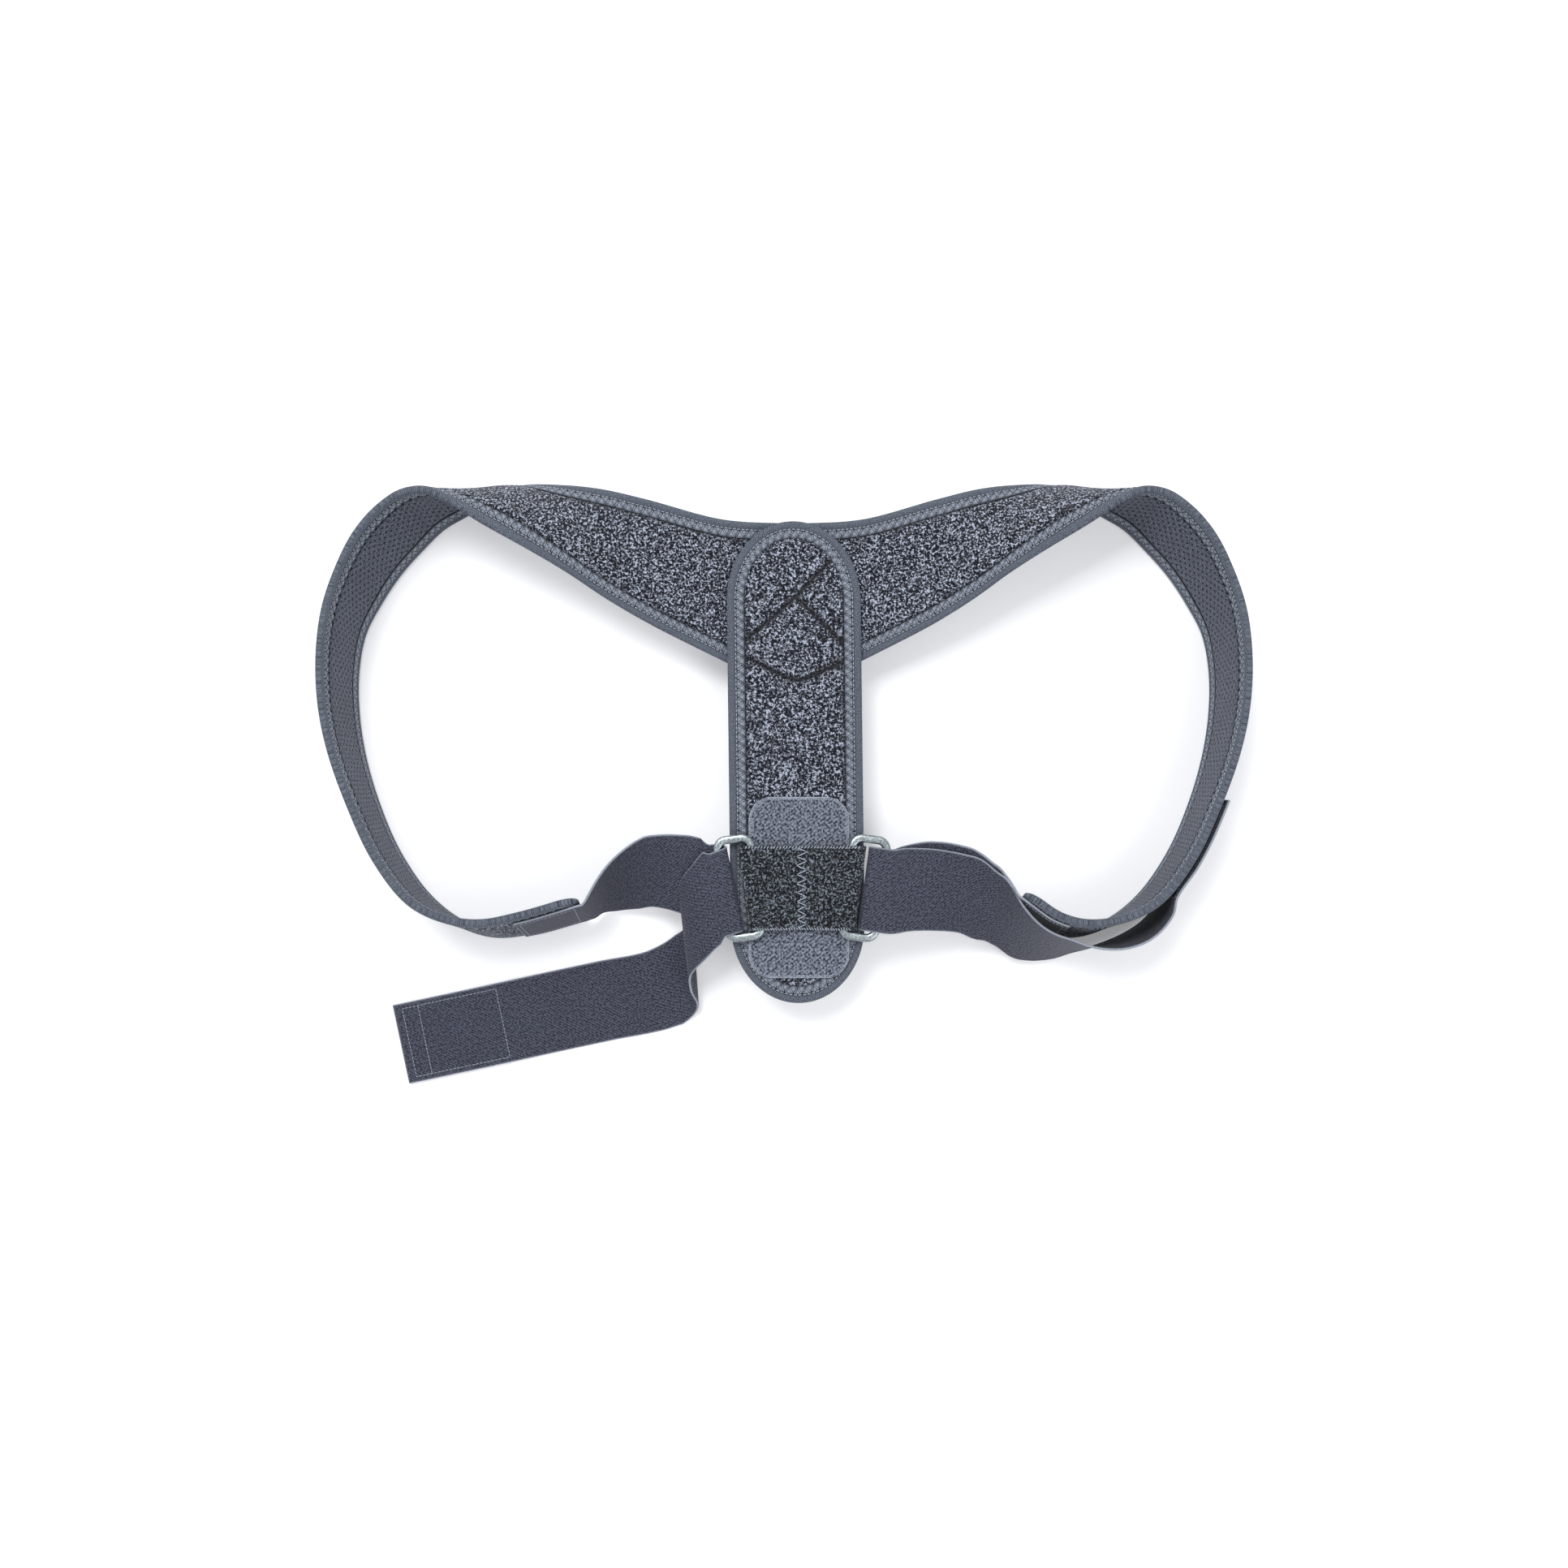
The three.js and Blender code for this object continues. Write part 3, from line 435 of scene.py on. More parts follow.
# %% The straps' courses
REAR_LEFT = [
    [-1.66, -0.08, 0.6, -10, 58],
    [-1.47, 0.04, 0.6, -8, 46],
    [-1.26, 0.13, 0.64, -6, 37],
    [-1.05, 0.18, 0.7, -4, 30],
    [-0.7, 0.15, 0.82, -5, 16],
]
FALL_LEFT = [
    [-0.48, -0.29, 0.98, 9, 0],
    [-0.66, -0.53, 0.73, 7, 5],
    [-0.65, -0.75, 0.48, 5, 6],
    [-0.57, -0.97, 0.24, 2, 5],
    [-0.68, -1.13, 0.09, 3, 2],
    [-1.05, -1.33, 0.03, 8, 0],
]
REAR_RIGHT = [
    [1.68, -0.09, 0.65, 8, 59],
    [1.54, -0.03, 0.68, 6, 51],
    [1.37, 0.04, 0.71, 4, 43],
    [1.18, 0.08, 0.76, 2, 34],
    [0.84, 0.08, 0.83, 0, 17],
]
OVER_RIGHT = [
    [0.55, -0.02, 1.03, -1, 3],
    [0.85, -0.03, 0.96, 0, 11],
    [1.21, -0.09, 0.87, -2, 20],
    [1.45, -0.2, 0.8, -6, 33],
    [1.65, -0.32, 0.77, -5, 42],
    [1.87, -0.56, 0.72, -1, 51],
    [2.09, -0.68, 0.68, 8, 59],
    [2.31, -0.73, 0.65, 20, 66],
    [2.52, -0.73, 0.62, 38, 70],
    [2.74, -0.74, 0.61, 62, 76],
    [2.97, -0.72, 0.61, 95, 79],
    [3.2, -0.66, 0.61, 122, 80],
    [3.44, -0.53, 0.61, 135, 82],
    [3.64, -0.3, 0.62, 143, 82],
]
FREE_END_LENGTH, FREE_END_SLOPE = 163.0, np.radians(12)
PATCH_LIFTS = [(0.2, 0), (0.42, 0.1), (0.64, 1), (0.81, 1), (0.98, 1), (1, 1)]
HELD_BACK, HELD_SHARES = 158.0, (0, 0.32, 0.64, 0.95, 1)


def left_strap():
    """Sewn to the pad, through the ring, down to the table and out to the free end."""
    fall = course(-1, FALL_LEFT)
    slope = np.array([-np.cos(FREE_END_SLOPE), -np.sin(FREE_END_SLOPE), 0])
    across = np.array([-slope[1], slope[0], 0])
    landing = fall[-1][0] * [1, 1, 0] + [0, 0, ELASTIC_HALF + GAP]
    end = [
        (landing + slope * share * FREE_END_LENGTH + [0, 0, PATCH_THICKNESS * lift], across)
        for share, lift in PATCH_LIFTS
    ]
    stations = sewn(-1) + course(-1, REAR_LEFT) + through_ring(-1, skew=12, slant=4)
    return strap_strip(stations + fall + end, -1, [(0, 4), (10, 20), (27, 32)])


def right_strap():
    """Sewn to the pad, through the ring and back round to the pad's outer face."""
    on_patch = BOUND_HALF + PATCH_CLEAR + PATCH_THICKNESS + GAP + ELASTIC_HALF
    start = pads[1].length - HELD_BACK
    held = [on_pad(1, start + (1 - s) * PATCH_LENGTH, on_patch) for s in HELD_SHARES]
    stations = sewn(1) + course(1, REAR_RIGHT) + through_ring(1, skew=0, slant=0)
    return strap_strip(stations + course(1, OVER_RIGHT) + held, 1, [(0, 4), (10, 20), (36, 39)])


straps = {-1: left_strap(), 1: right_strap()}
print("strap lengths", [round(strap.length) for strap in straps.values()])

# %% [markdown]
# Every mesh here is a shell: closed outlines of the same number of points, joined by four-sided
# faces and capped at both ends unless it closes on itself. The helper also writes a UV map in
# metres, so a weave laid on it keeps its real scale however the strap turns. Where a seam pulls
# cloth together, and where one piece meets another, a number for painted light and shade is kept
# at each point, from -1 to 1: the finish darkens with painted shade where it is over 0, and pales
# with a painted highlight where it is under 0, as on the crown of a cushion or along a web's edge.

# %% Shells and threads
def make_piece(name, points, quads, corner_uv, caps=(), finish_of=None, painted_light=None):
    """A smooth mesh object at the origin. points are millimetres in the strips' own frame.

    All faces turn round if the volume inside them, a sixth of the sum of a.(b x c), is below 0.
    """
    a, b, c, d = (points[quads[:, k]] - points.mean(axis=0) for k in range(4))
    step = 1 if (a * (np.cross(b, c) + np.cross(c, d))).sum() > 0 else -1
    faces = quads[:, ::step].tolist() + [list(cap)[::step] for cap in caps]
    mesh = bpy.data.meshes.new(name)
    mesh.from_pydata(((points + SHIFT) * MM).tolist(), [], faces)
    mesh.polygons.foreach_set("use_smooth", np.arange(len(faces)) < len(quads))
    layer = mesh.uv_layers.new(name="cloth")
    flat = np.zeros((len(layer.data), 2), np.float32)
    flat[: quads.size] = corner_uv[:, ::step].reshape(-1, 2) * MM
    layer.data.foreach_set("uv", flat.ravel())
    if finish_of is not None:
        index = np.zeros(len(faces), np.int32)
        index[: len(quads)] = finish_of
        mesh.polygons.foreach_set("material_index", index)
    # Painted light and shade per point: over 0 is painted shade, under 0 a painted highlight.
    if painted_light is not None:
        shade = mesh.attributes.new("painted_light", "FLOAT", "POINT")
        shade.data.foreach_set("value", painted_light.astype(np.float32).ravel())
    piece = bpy.data.objects.new(name, mesh)
    bpy.context.collection.objects.link(piece)
    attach(piece, "root")
    print(name, len(faces), "faces")
    return piece


def shell(name, rings, uv, loop=False, finish_of=None, painted_light=None):
    """A closed skin over rings (n, m, 3), with uv (n, m + 1, 2) whose last column closes a ring.

    Face (i, j) joins rings i and i + 1 at points j and j + 1, counted round. Unless the rings make
    a loop, one many-sided face closes each end.
    """
    n, m, _ = rings.shape
    i, j = np.meshgrid(np.arange(n if loop else n - 1), np.arange(m), indexing="ij")
    i, j = i.ravel(), j.ravel()
    k, after = (j + 1) % m, (i + 1) % n
    quads = np.c_[i * m + j, i * m + k, after * m + k, after * m + j]
    corner_uv = np.stack([uv[i, j], uv[i, j + 1], uv[i + 1, j + 1], uv[i + 1, j]], axis=1)
    ngons = () if loop else (range(m - 1, -1, -1), range((n - 1) * m, n * m))
    finishes = finish_of[j] if finish_of is not None else None
    return make_piece(name, rings.reshape(-1, 3), quads, corner_uv, ngons, finishes, painted_light)


def threads(name, paths, ups, radius):
    """Many short sewn threads as one mesh: a six-sided tube along each path (n, k, 3).

    The tube's radius falls to a point at both ends as the root of 1 - t^8, t from -1 to 1.
    """
    n, k, _ = paths.shape
    run = unit(np.gradient(paths, axis=1))
    side = unit(np.cross(run, ups))
    over = np.cross(side, run)
    swell = radius * np.sqrt(1 - 0.95 * np.linspace(-1, 1, k) ** 8)
    angle = np.arange(6) * TAU / 6
    ring = side[:, :, None] * np.cos(angle)[:, None] + over[:, :, None] * np.sin(angle)[:, None]
    points = paths[:, :, None] + ring * swell[None, :, None, None]
    start = (np.arange(n) * k * 6)[:, None]
    i, j = (v.ravel() for v in np.meshgrid(np.arange(k - 1), np.arange(6), indexing="ij"))
    side_faces = np.c_[i * 6 + j, i * 6 + (j + 1) % 6, (i + 1) * 6 + (j + 1) % 6, (i + 1) * 6 + j]
    low = np.array([[0, 3, 2, 1], [0, 5, 4, 3]])
    high = np.array([[0, 1, 2, 3], [0, 3, 4, 5]]) + (k - 1) * 6
    faces = np.concatenate([side_faces, low, high])
    quads = (faces[None] + start[:, :, None]).reshape(-1, 4)
    turn_uv = np.c_[j, j + 1, j + 1, j] * radius
    long_uv = np.c_[i, i, i + 1, i + 1] * 0.5
    uv = np.stack([long_uv, turn_uv], axis=-1)
    uv = np.concatenate([uv, np.zeros((4, 4, 2))])
    return make_piece(name, points.reshape(-1, 3), quads, np.tile(uv, (n, 1, 1)))


print("helpers ready")

# %% [markdown]
# Now the finishes. The photograph shows eight of them: brushed loop pile, perforated lining,
# knitted binding tape, sewing thread, elastic webbing, the woven back of hook tape, its hooks,
# and satin metal. Colours are written as they look on a screen, from 0 to 255, and turned into
# linear light.

# %% Colours and node helpers
def rgb(red, green, blue):
    """A screen colour as linear light: ((c + 0.055) / 1.055)^2.4 over 0.04, c / 12.92 under it."""
    c = np.array([red, green, blue]) / 255
    linear = np.where(c > 0.04045, ((c + 0.055) / 1.055) ** 2.4, c / 12.92)
    return (*linear.tolist(), 1.0)


def put(tree, kind, inputs=(), **settings):
    """A new node with its settings, and with values, sockets or wires in its inputs."""
    node = tree.nodes.new(kind)
    for key, value in settings.items():
        setattr(node, key, value)
    for key, value in dict(inputs).items():
        value = getattr(value, "socket", value)
        if isinstance(value, bpy.types.NodeSocket):
            tree.links.new(value, node.inputs[key])
        else:
            node.inputs[key].default_value = value
    return node


class Wire:
    """A number that flows through a node tree. Each sum with it adds a Math node to the tree."""

    def __init__(self, tree, socket):
        """The tree and the socket that the number comes out of."""
        self.tree, self.socket = tree, socket

    def math(self, operation, *others):
        """The answer of a Math node on this number and the others."""
        inputs = dict(enumerate([self, *others]))
        node = put(self.tree, "ShaderNodeMath", inputs, operation=operation)
        return Wire(self.tree, node.outputs[0])

    def __add__(self, other):
        """This number plus the other."""
        return self.math("ADD", other)

    def __sub__(self, other):
        """This number minus the other."""
        return self.math("SUBTRACT", other)

    def __mul__(self, other):
        """This number times the other."""
        return self.math("MULTIPLY", other)

    def __truediv__(self, other):
        """This number over the other."""
        return self.math("DIVIDE", other)

    def __rtruediv__(self, other):
        """The other, a plain number, over this one."""
        return Wire(self.tree, other).math("DIVIDE", self)

    def eased(self, low, high, start=0.0, end=1.0):
        """From start to end by a smoothstep of this number between low and high."""
        inputs = {"Value": self, "From Min": low, "From Max": high, "To Min": start, "To Max": end}
        node = put(self.tree, "ShaderNodeMapRange", inputs, interpolation_type="SMOOTHSTEP")
        return Wire(self.tree, node.outputs[0])


def wires(tree, node):
    """A node's outputs by name."""
    return {output.name: Wire(tree, output) for output in node.outputs if output.name}


KINDS = {"Place": "NodeSocketVector", "Colour": "NodeSocketColor"}


def new_group(name, **takes):
    """A node group that takes a Place and the named inputs, and the wires that come in."""
    group = bpy.data.node_groups.new(name, "ShaderNodeTree")
    for label, value in {"Place": None, **takes}.items():
        kind = KINDS.get(label, "NodeSocketFloat")
        socket = group.interface.new_socket(label, in_out="INPUT", socket_type=kind)
        if value is not None:
            socket.default_value = value
    return group, wires(group, group.nodes.new("NodeGroupInput"))


def give(group, **answers):
    """Named outputs for a group, each fed by its wire."""
    for label in answers:
        kind = KINDS.get(label, "NodeSocketFloat")
        group.interface.new_socket(label, in_out="OUTPUT", socket_type=kind)
    put(group, "NodeGroupOutput", answers)
    return group


def noise(tree, place, scale, detail, roughness=0.5):
    """A noise texture's value."""
    inputs = {"Vector": place, "Scale": scale, "Detail": detail, "Roughness": roughness}
    return Wire(tree, put(tree, "ShaderNodeTexNoise", inputs).outputs["Fac"])


def flat_place(group, place):
    """The first two coordinates of a place."""
    apart = put(group, "ShaderNodeSeparateXYZ", {0: place}).outputs
    return Wire(group, apart[0]), Wire(group, apart[1])


def spot(x, y, radius, full, none):
    """1 up to full radii from (0, 0), 0 beyond none radii, and a smoothstep between."""
    return ((x * x + y * y).math("SQRT") / radius).eased(full, none, 1.0, 0.0)


print("slate in linear light", np.round(rgb(92, 98, 113), 3))

# %% [markdown]
# Brushed pile is a mat of tiny torn loops. Each loop tip catches light and each gap between tips
# is dark, so from a step away it looks like salt and pepper. A noise about a millimetre wide,
# pushed to its ends, gives the tips, and a finer one breaks up their edges. The same value is the
# height.

# %% Group: pile flecks
def build_flecks():
    """Mask = smoothstep of two mixed noises; Height = the same mask plus the finer noise."""
    group, given = new_group("pile_flecks", Size=0.001, Low=0.4, High=0.6)
    scale = 1.0 / given["Size"]
    coarse = noise(group, given["Place"], scale, 2.0, 0.65)
    fine = noise(group, given["Place"], scale * 2.3, 1.0)
    mask = (coarse * 0.7 + fine * 0.3).eased(given["Low"], given["High"])
    return give(group, Mask=mask, Height=mask + fine)


flecks = build_flecks()
print("group", flecks.name)

# %% [markdown]
# Webbing and woven tape show ribs: yarns that pass over the others at a slant. In flat strap
# coordinates a rib is a sine of one slanted distance, and the yarns that cross it are a second,
# weaker sine. The slanted distance is cos(angle) times along plus sin(angle) times across.

# %% Group: woven ribs
def build_ribs():
    """Mask = half + half of sin(2 pi d / pitch) with a crossing yarn's sine, mixed with grain.

    The distance d wanders by a noise about a pitch wide, and the grain is that noise, sharpened.
    """
    group, given = new_group("woven_ribs", Pitch=0.0007, Angle=0.8, Cross=0.3, Grain=0.4)
    pitch, angle = given["Pitch"], given["Angle"]
    yarn = noise(group, given["Place"], 1.2 / pitch, 2.0)
    wander = (yarn - 0.5) * pitch
    x, y = flat_place(group, given["Place"])
    cosine, sine, turn = angle.math("COSINE"), angle.math("SINE"), TAU / pitch
    over = ((x * cosine + y * sine + wander) * turn).math("SINE")
    under = ((x * sine - y * cosine + wander) * turn).math("SINE")
    crossed = over * 0.5 + 0.5 + under * given["Cross"] * 0.5
    grain = yarn.eased(0.42, 0.58) - crossed
    return give(group, Mask=crossed + grain * given["Grain"], Height=crossed)


ribs = build_ribs()
print("group", ribs.name)

# %% [markdown]
# The lining is a fine knit that is punched in staggered rows so that the foam can breathe. Every
# second row of holes is moved half a pitch. The mask is 1 inside a hole and falls off at its rim.

# %% Group: punched holes
def build_holes():
    """Mask = a spot round each lattice point; rows lie half a pitch apart."""
    group, given = new_group("punched_holes", Pitch=0.0056, Radius=0.0006)
    pitch = given["Pitch"]
    x, y = flat_place(group, given["Place"])
    row = y / (pitch * 0.5)
    column = x / pitch + row.math("FLOOR").math("FLOORED_MODULO", 2.0) * 0.5
    aside = (column.math("FRACT") - 0.5) * pitch
    above = (row.math("FRACT") - 0.5) * (pitch * 0.5)
    return give(group, Mask=spot(aside, above, given["Radius"], 0.7, 1.1))


holes = build_holes()
print("group", holes.name)

# %% [markdown]
# A zigzag seam pulls tape into a small pit at each turn of the thread, and the pit's shade is
# painted as a small dark spot. The tape's UV map counts every zigzag as the same length and starts
# across at the groove, so one row of round spots does it.

# %% Group: needle pits
def build_pits():
    """Mask = a spot at each whole pitch along one row."""
    group, given = new_group("needle_pits", Pitch=ZIGZAG * MM, Row=0.0, Radius=0.0009)
    x, y = flat_place(group, given["Place"])
    beside = ((x / given["Pitch"] + 0.5).math("FRACT") - 0.5) * given["Pitch"]
    return give(group, Mask=spot(beside, y - given["Row"], given["Radius"], 0.5, 1.2))


pits = build_pits()
print("group", pits.name)

# %% [markdown]
# Cloth that has been handled is never one even tone: dye, lint and nap direction give soft
# patches a few centimetres wide. One group multiplies any colour by a slow noise, so all pieces
# share it.

# %% Group: handled tone
def build_tone():
    """Colour times 1 + Amount (slow noise - 1/2)."""
    group, given = new_group("handled_tone", Colour=None, Amount=0.2, Size=0.03)
    slow = noise(group, given["Place"], 1.0 / given["Size"], 3.0)
    factor = (slow - 0.5) * given["Amount"] + 1.0
    inputs = {0: given["Colour"], "Scale": factor}
    toned = put(group, "ShaderNodeVectorMath", inputs, operation="SCALE")
    return give(group, Colour=toned.outputs[0])


tone = build_tone()
print("group", tone.name)

# %% [markdown]
# Each finish is a Principled shader fed by those groups. A mask mixes a dark and a light colour,
# the tone group varies the result, and a bump turns the height into relief.

# %% The finish builder
def finish(name, roughness, sheen=0.0, metallic=0.0, specular=0.5):
    """A new material, its tree, its shader, and the texture places to read."""
    material = bpy.data.materials.new(name)
    material.use_nodes = True
    tree = material.node_tree
    shader = tree.nodes["Principled BSDF"]
    for key, value in {"Roughness": roughness, "Sheen Weight": sheen, "Sheen Roughness": 0.5,
                       "Metallic": metallic, "Specular IOR Level": specular}.items():
        shader.inputs[key].default_value = value
    return material, tree, shader, put(tree, "ShaderNodeTexCoord").outputs


def from_group(tree, group, place, **values):
    """The wires out of a group node that reads place, with its other inputs set or linked."""
    return wires(tree, put(tree, "ShaderNodeGroup", {"Place": place, **values}, node_tree=group))


def blend(tree, first, second, factor):
    """The first colour mixed towards the second by a factor."""
    inputs = {"A": first, "B": second, "Factor": factor}
    return put(tree, "ShaderNodeMix", inputs, data_type="RGBA").outputs["Result"]


def with_painted_light(tree, colour, dark, painted_highlight):
    """The colour towards dark as painted shade where the mesh's painted-light number is over 0,
    and towards pale as a painted highlight where it is under 0.
    """
    painted_light = Wire(tree, put(tree, "ShaderNodeAttribute", attribute_name="painted_light").outputs["Fac"])
    return blend(tree, blend(tree, colour, dark, painted_light), painted_highlight, painted_light * -1.0)


def patched(tree, shader, place, colour, amount=0.25, size=0.03):
    """The colour through the tone group into Base Color."""
    toned = from_group(tree, tone, place, Colour=colour, Amount=amount, Size=size)
    tree.links.new(toned["Colour"].socket, shader.inputs["Base Color"])


def relief(tree, shader, height, distance):
    """The height through a Bump node into Normal."""
    bump = put(tree, "ShaderNodeBump", {"Height": height, "Distance": distance, "Strength": 1.0})
    tree.links.new(bump.outputs["Normal"], shader.inputs["Normal"])


print("finish builder ready")

# %% [markdown]
# The pile on the pads and the spine strap is slate with pale tips. The band's pile is the same
# cloth, darker. Both read Object coordinates, because a mat of loops has no direction.

# %% Pile
def pile(name, dark, light, size, low, high, depth):
    """Flecks of size metres between dark and light, depth metres tall."""
    material, tree, shader, places = finish(name, 0.95, sheen=0.15, specular=0.2)
    specks = from_group(tree, flecks, places["Object"], Size=size, Low=low, High=high)
    # Painted shade, rgb(12, 13, 21), beside the tape and in seam grooves.
    colour = with_painted_light(tree, blend(tree, dark, light, specks["Mask"]), rgb(12, 13, 21), light)
    patched(tree, shader, places["Object"], colour)
    relief(tree, shader, specks["Height"], depth)
    return material


pad_pile = pile("pad_pile", rgb(15, 17, 29), rgb(192, 200, 219),
                size=0.0014, low=0.48, high=0.58, depth=0.0009)
band_pile = pile("band_pile", rgb(10, 13, 19), rgb(136, 147, 159),
                 size=0.00135, low=0.49, high=0.59, depth=0.0009)
print(pad_pile.name, band_pile.name)

# %% [markdown]
# The lining lies against the wearer, so it is a smooth knit in a lighter grey, with the shade in
# the punched holes painted dark. It reads the strip's own UV, so the rows of holes follow the pad
# round its loop.

# %% Lining
def lining(name, dark, light):
    """Fine knit mixed from dark to light, with staggered holes that sink in and are painted dark
    as shade.
    """
    material, tree, shader, places = finish(name, 0.85, sheen=0.1, specular=0.3)
    knit = from_group(tree, ribs, places["UV"], Pitch=0.0014, Angle=1.0, Cross=0.8, Grain=0.6)
    punched = from_group(tree, holes, places["UV"], Radius=0.0009)["Mask"]
    # Painted shade: the holes are mixed to rgb(10, 11, 17).
    knit_with_hole_shade = blend(tree, blend(tree, dark, light, knit["Mask"]), rgb(10, 11, 17), punched)
    # Painted shade, rgb(16, 18, 26), beside the tape and in seam grooves.
    patched(tree, shader, places["Object"], with_painted_light(tree, knit_with_hole_shade, rgb(16, 18, 26), light))
    relief(tree, shader, knit["Height"] * 0.25 - punched, 0.0006)
    return material


pad_lining = lining("pad_lining", rgb(38, 41, 52), rgb(110, 116, 132))
print(pad_lining.name)

# %% [markdown]
# Tape, webbing and the back of the hook tape are all ribbed cloth, and differ in colour, in the
# pitch and slant of their ribs and in how much they shine. Webbing has the finest diagonal twill.

# %% Ribbed cloths
def ribbed(name, dark, light, roughness, pitch, angle, cross, depth, grain=0.4, pit_row=None):
    """Ribs of pitch metres at angle radians, between dark and light, depth metres tall."""
    material, tree, shader, places = finish(name, roughness, sheen=0.1, specular=0.4)
    yarn = from_group(tree, ribs, places["UV"], Pitch=pitch, Angle=angle, Cross=cross, Grain=grain)
    cloth = blend(tree, dark, light, yarn["Mask"])
    # Painted shade, rgb(14, 16, 24), and painted highlight, rgb(186, 193, 206), from the mesh's
    # number.
    colour = with_painted_light(tree, cloth, rgb(14, 16, 24), rgb(186, 193, 206))
    if pit_row is not None:
        # Painted shade: a dark spot, rgb(8, 9, 15), in the pit at each turn of the zigzag.
        painted_pit_shade = from_group(tree, pits, places["UV"], Row=pit_row)["Mask"]
        colour = blend(tree, colour, rgb(8, 9, 15), painted_pit_shade)
    patched(tree, shader, places["Object"], colour)
    relief(tree, shader, yarn["Height"], depth)
    return material


def thread(name, dark, light, roughness):
    """Two yarns twisted round each other, as very fine ribs."""
    return ribbed(name, dark, light, roughness, pitch=0.0005, angle=0.5, cross=0.2, depth=0.00005)


binding_tape = ribbed("binding_tape", rgb(52, 58, 69), rgb(110, 117, 129), 0.8,
                      pitch=0.0011, angle=0.3, cross=0.6, depth=0.00008, pit_row=-0.0009)
elastic_twill = ribbed("elastic_twill", rgb(4, 5, 12), rgb(84, 88, 106), 0.75,
                       pitch=0.0015, angle=0.9, cross=0.25, depth=0.00018, grain=0.55)
tab_weave = ribbed("tab_weave", rgb(20, 24, 33), rgb(138, 144, 160), 0.8,
                   pitch=0.0019, angle=0.65, cross=0.6, depth=0.00018, grain=0.65)
hook_pile = ribbed("hook_pile", rgb(60, 66, 76), rgb(118, 126, 138), 0.5,
                   pitch=0.0017, angle=0.0, cross=1.0, depth=0.0002)
seam_thread = thread("seam_thread", rgb(140, 148, 162), rgb(196, 204, 216), 0.6)
dark_thread = thread("dark_thread", rgb(22, 24, 32), rgb(48, 52, 64), 0.7)
print([m.name for m in (binding_tape, elastic_twill, tab_weave, hook_pile, seam_thread)])

# %% [markdown]
# The rings are cast zinc with a satin plating: grey with a touch of green, and brushed faintly.
# The roughness varies with a fine noise, so that their highlights look rubbed and not like
# chrome.

# %% Satin metal
def satin(name, dark, light):
    """A metal whose tone and roughness follow one noise."""
    material, tree, shader, places = finish(name, 0.34, metallic=1.0)
    specks = from_group(tree, flecks, places["Object"], Size=0.0012, Low=0.3, High=0.7)
    toned = blend(tree, dark, light, specks["Mask"])
    patched(tree, shader, places["Object"], toned, amount=0.35, size=0.012)
    inputs = {"Value": specks["Mask"], "To Min": 0.26, "To Max": 0.42}
    rough = put(tree, "ShaderNodeMapRange", inputs)
    tree.links.new(rough.outputs[0], shader.inputs["Roughness"])
    relief(tree, shader, specks["Height"], 0.00002)
    return material


ring_metal = satin("ring_metal", rgb(132, 142, 146), rgb(192, 201, 203))
print(ring_metal.name)

# %% [markdown]
# A photographer's sweep is matt and almost white. The floor gets a broad soft mottle, too faint
# to see as a pattern, so that it still reads as a real surface next to the cloth, and a faint
# glow, painted light from a white emission that lifts the soft shadows on it to as light as a
# catalogue picture has them.

# %% The floor's finish
def paper(name, dark, light, glow):
    """Near white with a slow, faint change of tone, and a faint white emission, painted light that
    lifts the shadows on it.
    """
    material, tree, shader, places = finish(name, 0.9)
    slow = from_group(tree, flecks, places["Object"], Size=0.25, Low=0.3, High=0.7)
    tree.links.new(blend(tree, dark, light, slow["Mask"]), shader.inputs["Base Color"])
    shader.inputs["Emission Color"].default_value = (1.0, 1.0, 1.0, 1.0)
    shader.inputs["Emission Strength"].default_value = glow
    return material


floor_mesh.materials.append(paper("pale_floor", rgb(248, 249, 251), rgb(255, 255, 255), 0.22))
print("floor finished")

# %% [markdown]
# A hem is the line along a strip's edge where the tape is folded over. It is kept as places on
# the strip with a direction outwards, and it knows its own real length, so that stitches can be
# set out along it at an even pitch wherever it bends.

# %% Hems
INSIDE = 5


class Hem:
    """Distance along a hem, outwards from it, and height: place() turns these into space."""

    def __init__(self, strip, at, out):
        """Rows of places on the strip, and of directions outwards from them.

        The length is that of the line in the middle of the tape, INSIDE mm in from the hem.
        """
        self.strip, self.table = strip, np.c_[at, out]
        line = strip.place(*(at - INSIDE * out).T, 0.0)
        self.lengths = np.r_[0, np.cumsum(np.linalg.norm(np.diff(line, axis=0), axis=1))]
        self.length = self.lengths[-1]

    def place(self, along, outwards, height):
        """The strip's own place for the hem's point, moved outwards on the strip."""
        along, outwards, height = np.broadcast_arrays(along, outwards, height)
        x, y, out_x, out_y = (np.interp(along, self.lengths, column) for column in self.table.T)
        return self.strip.place(x + out_x * outwards, y + out_y * outwards, height)


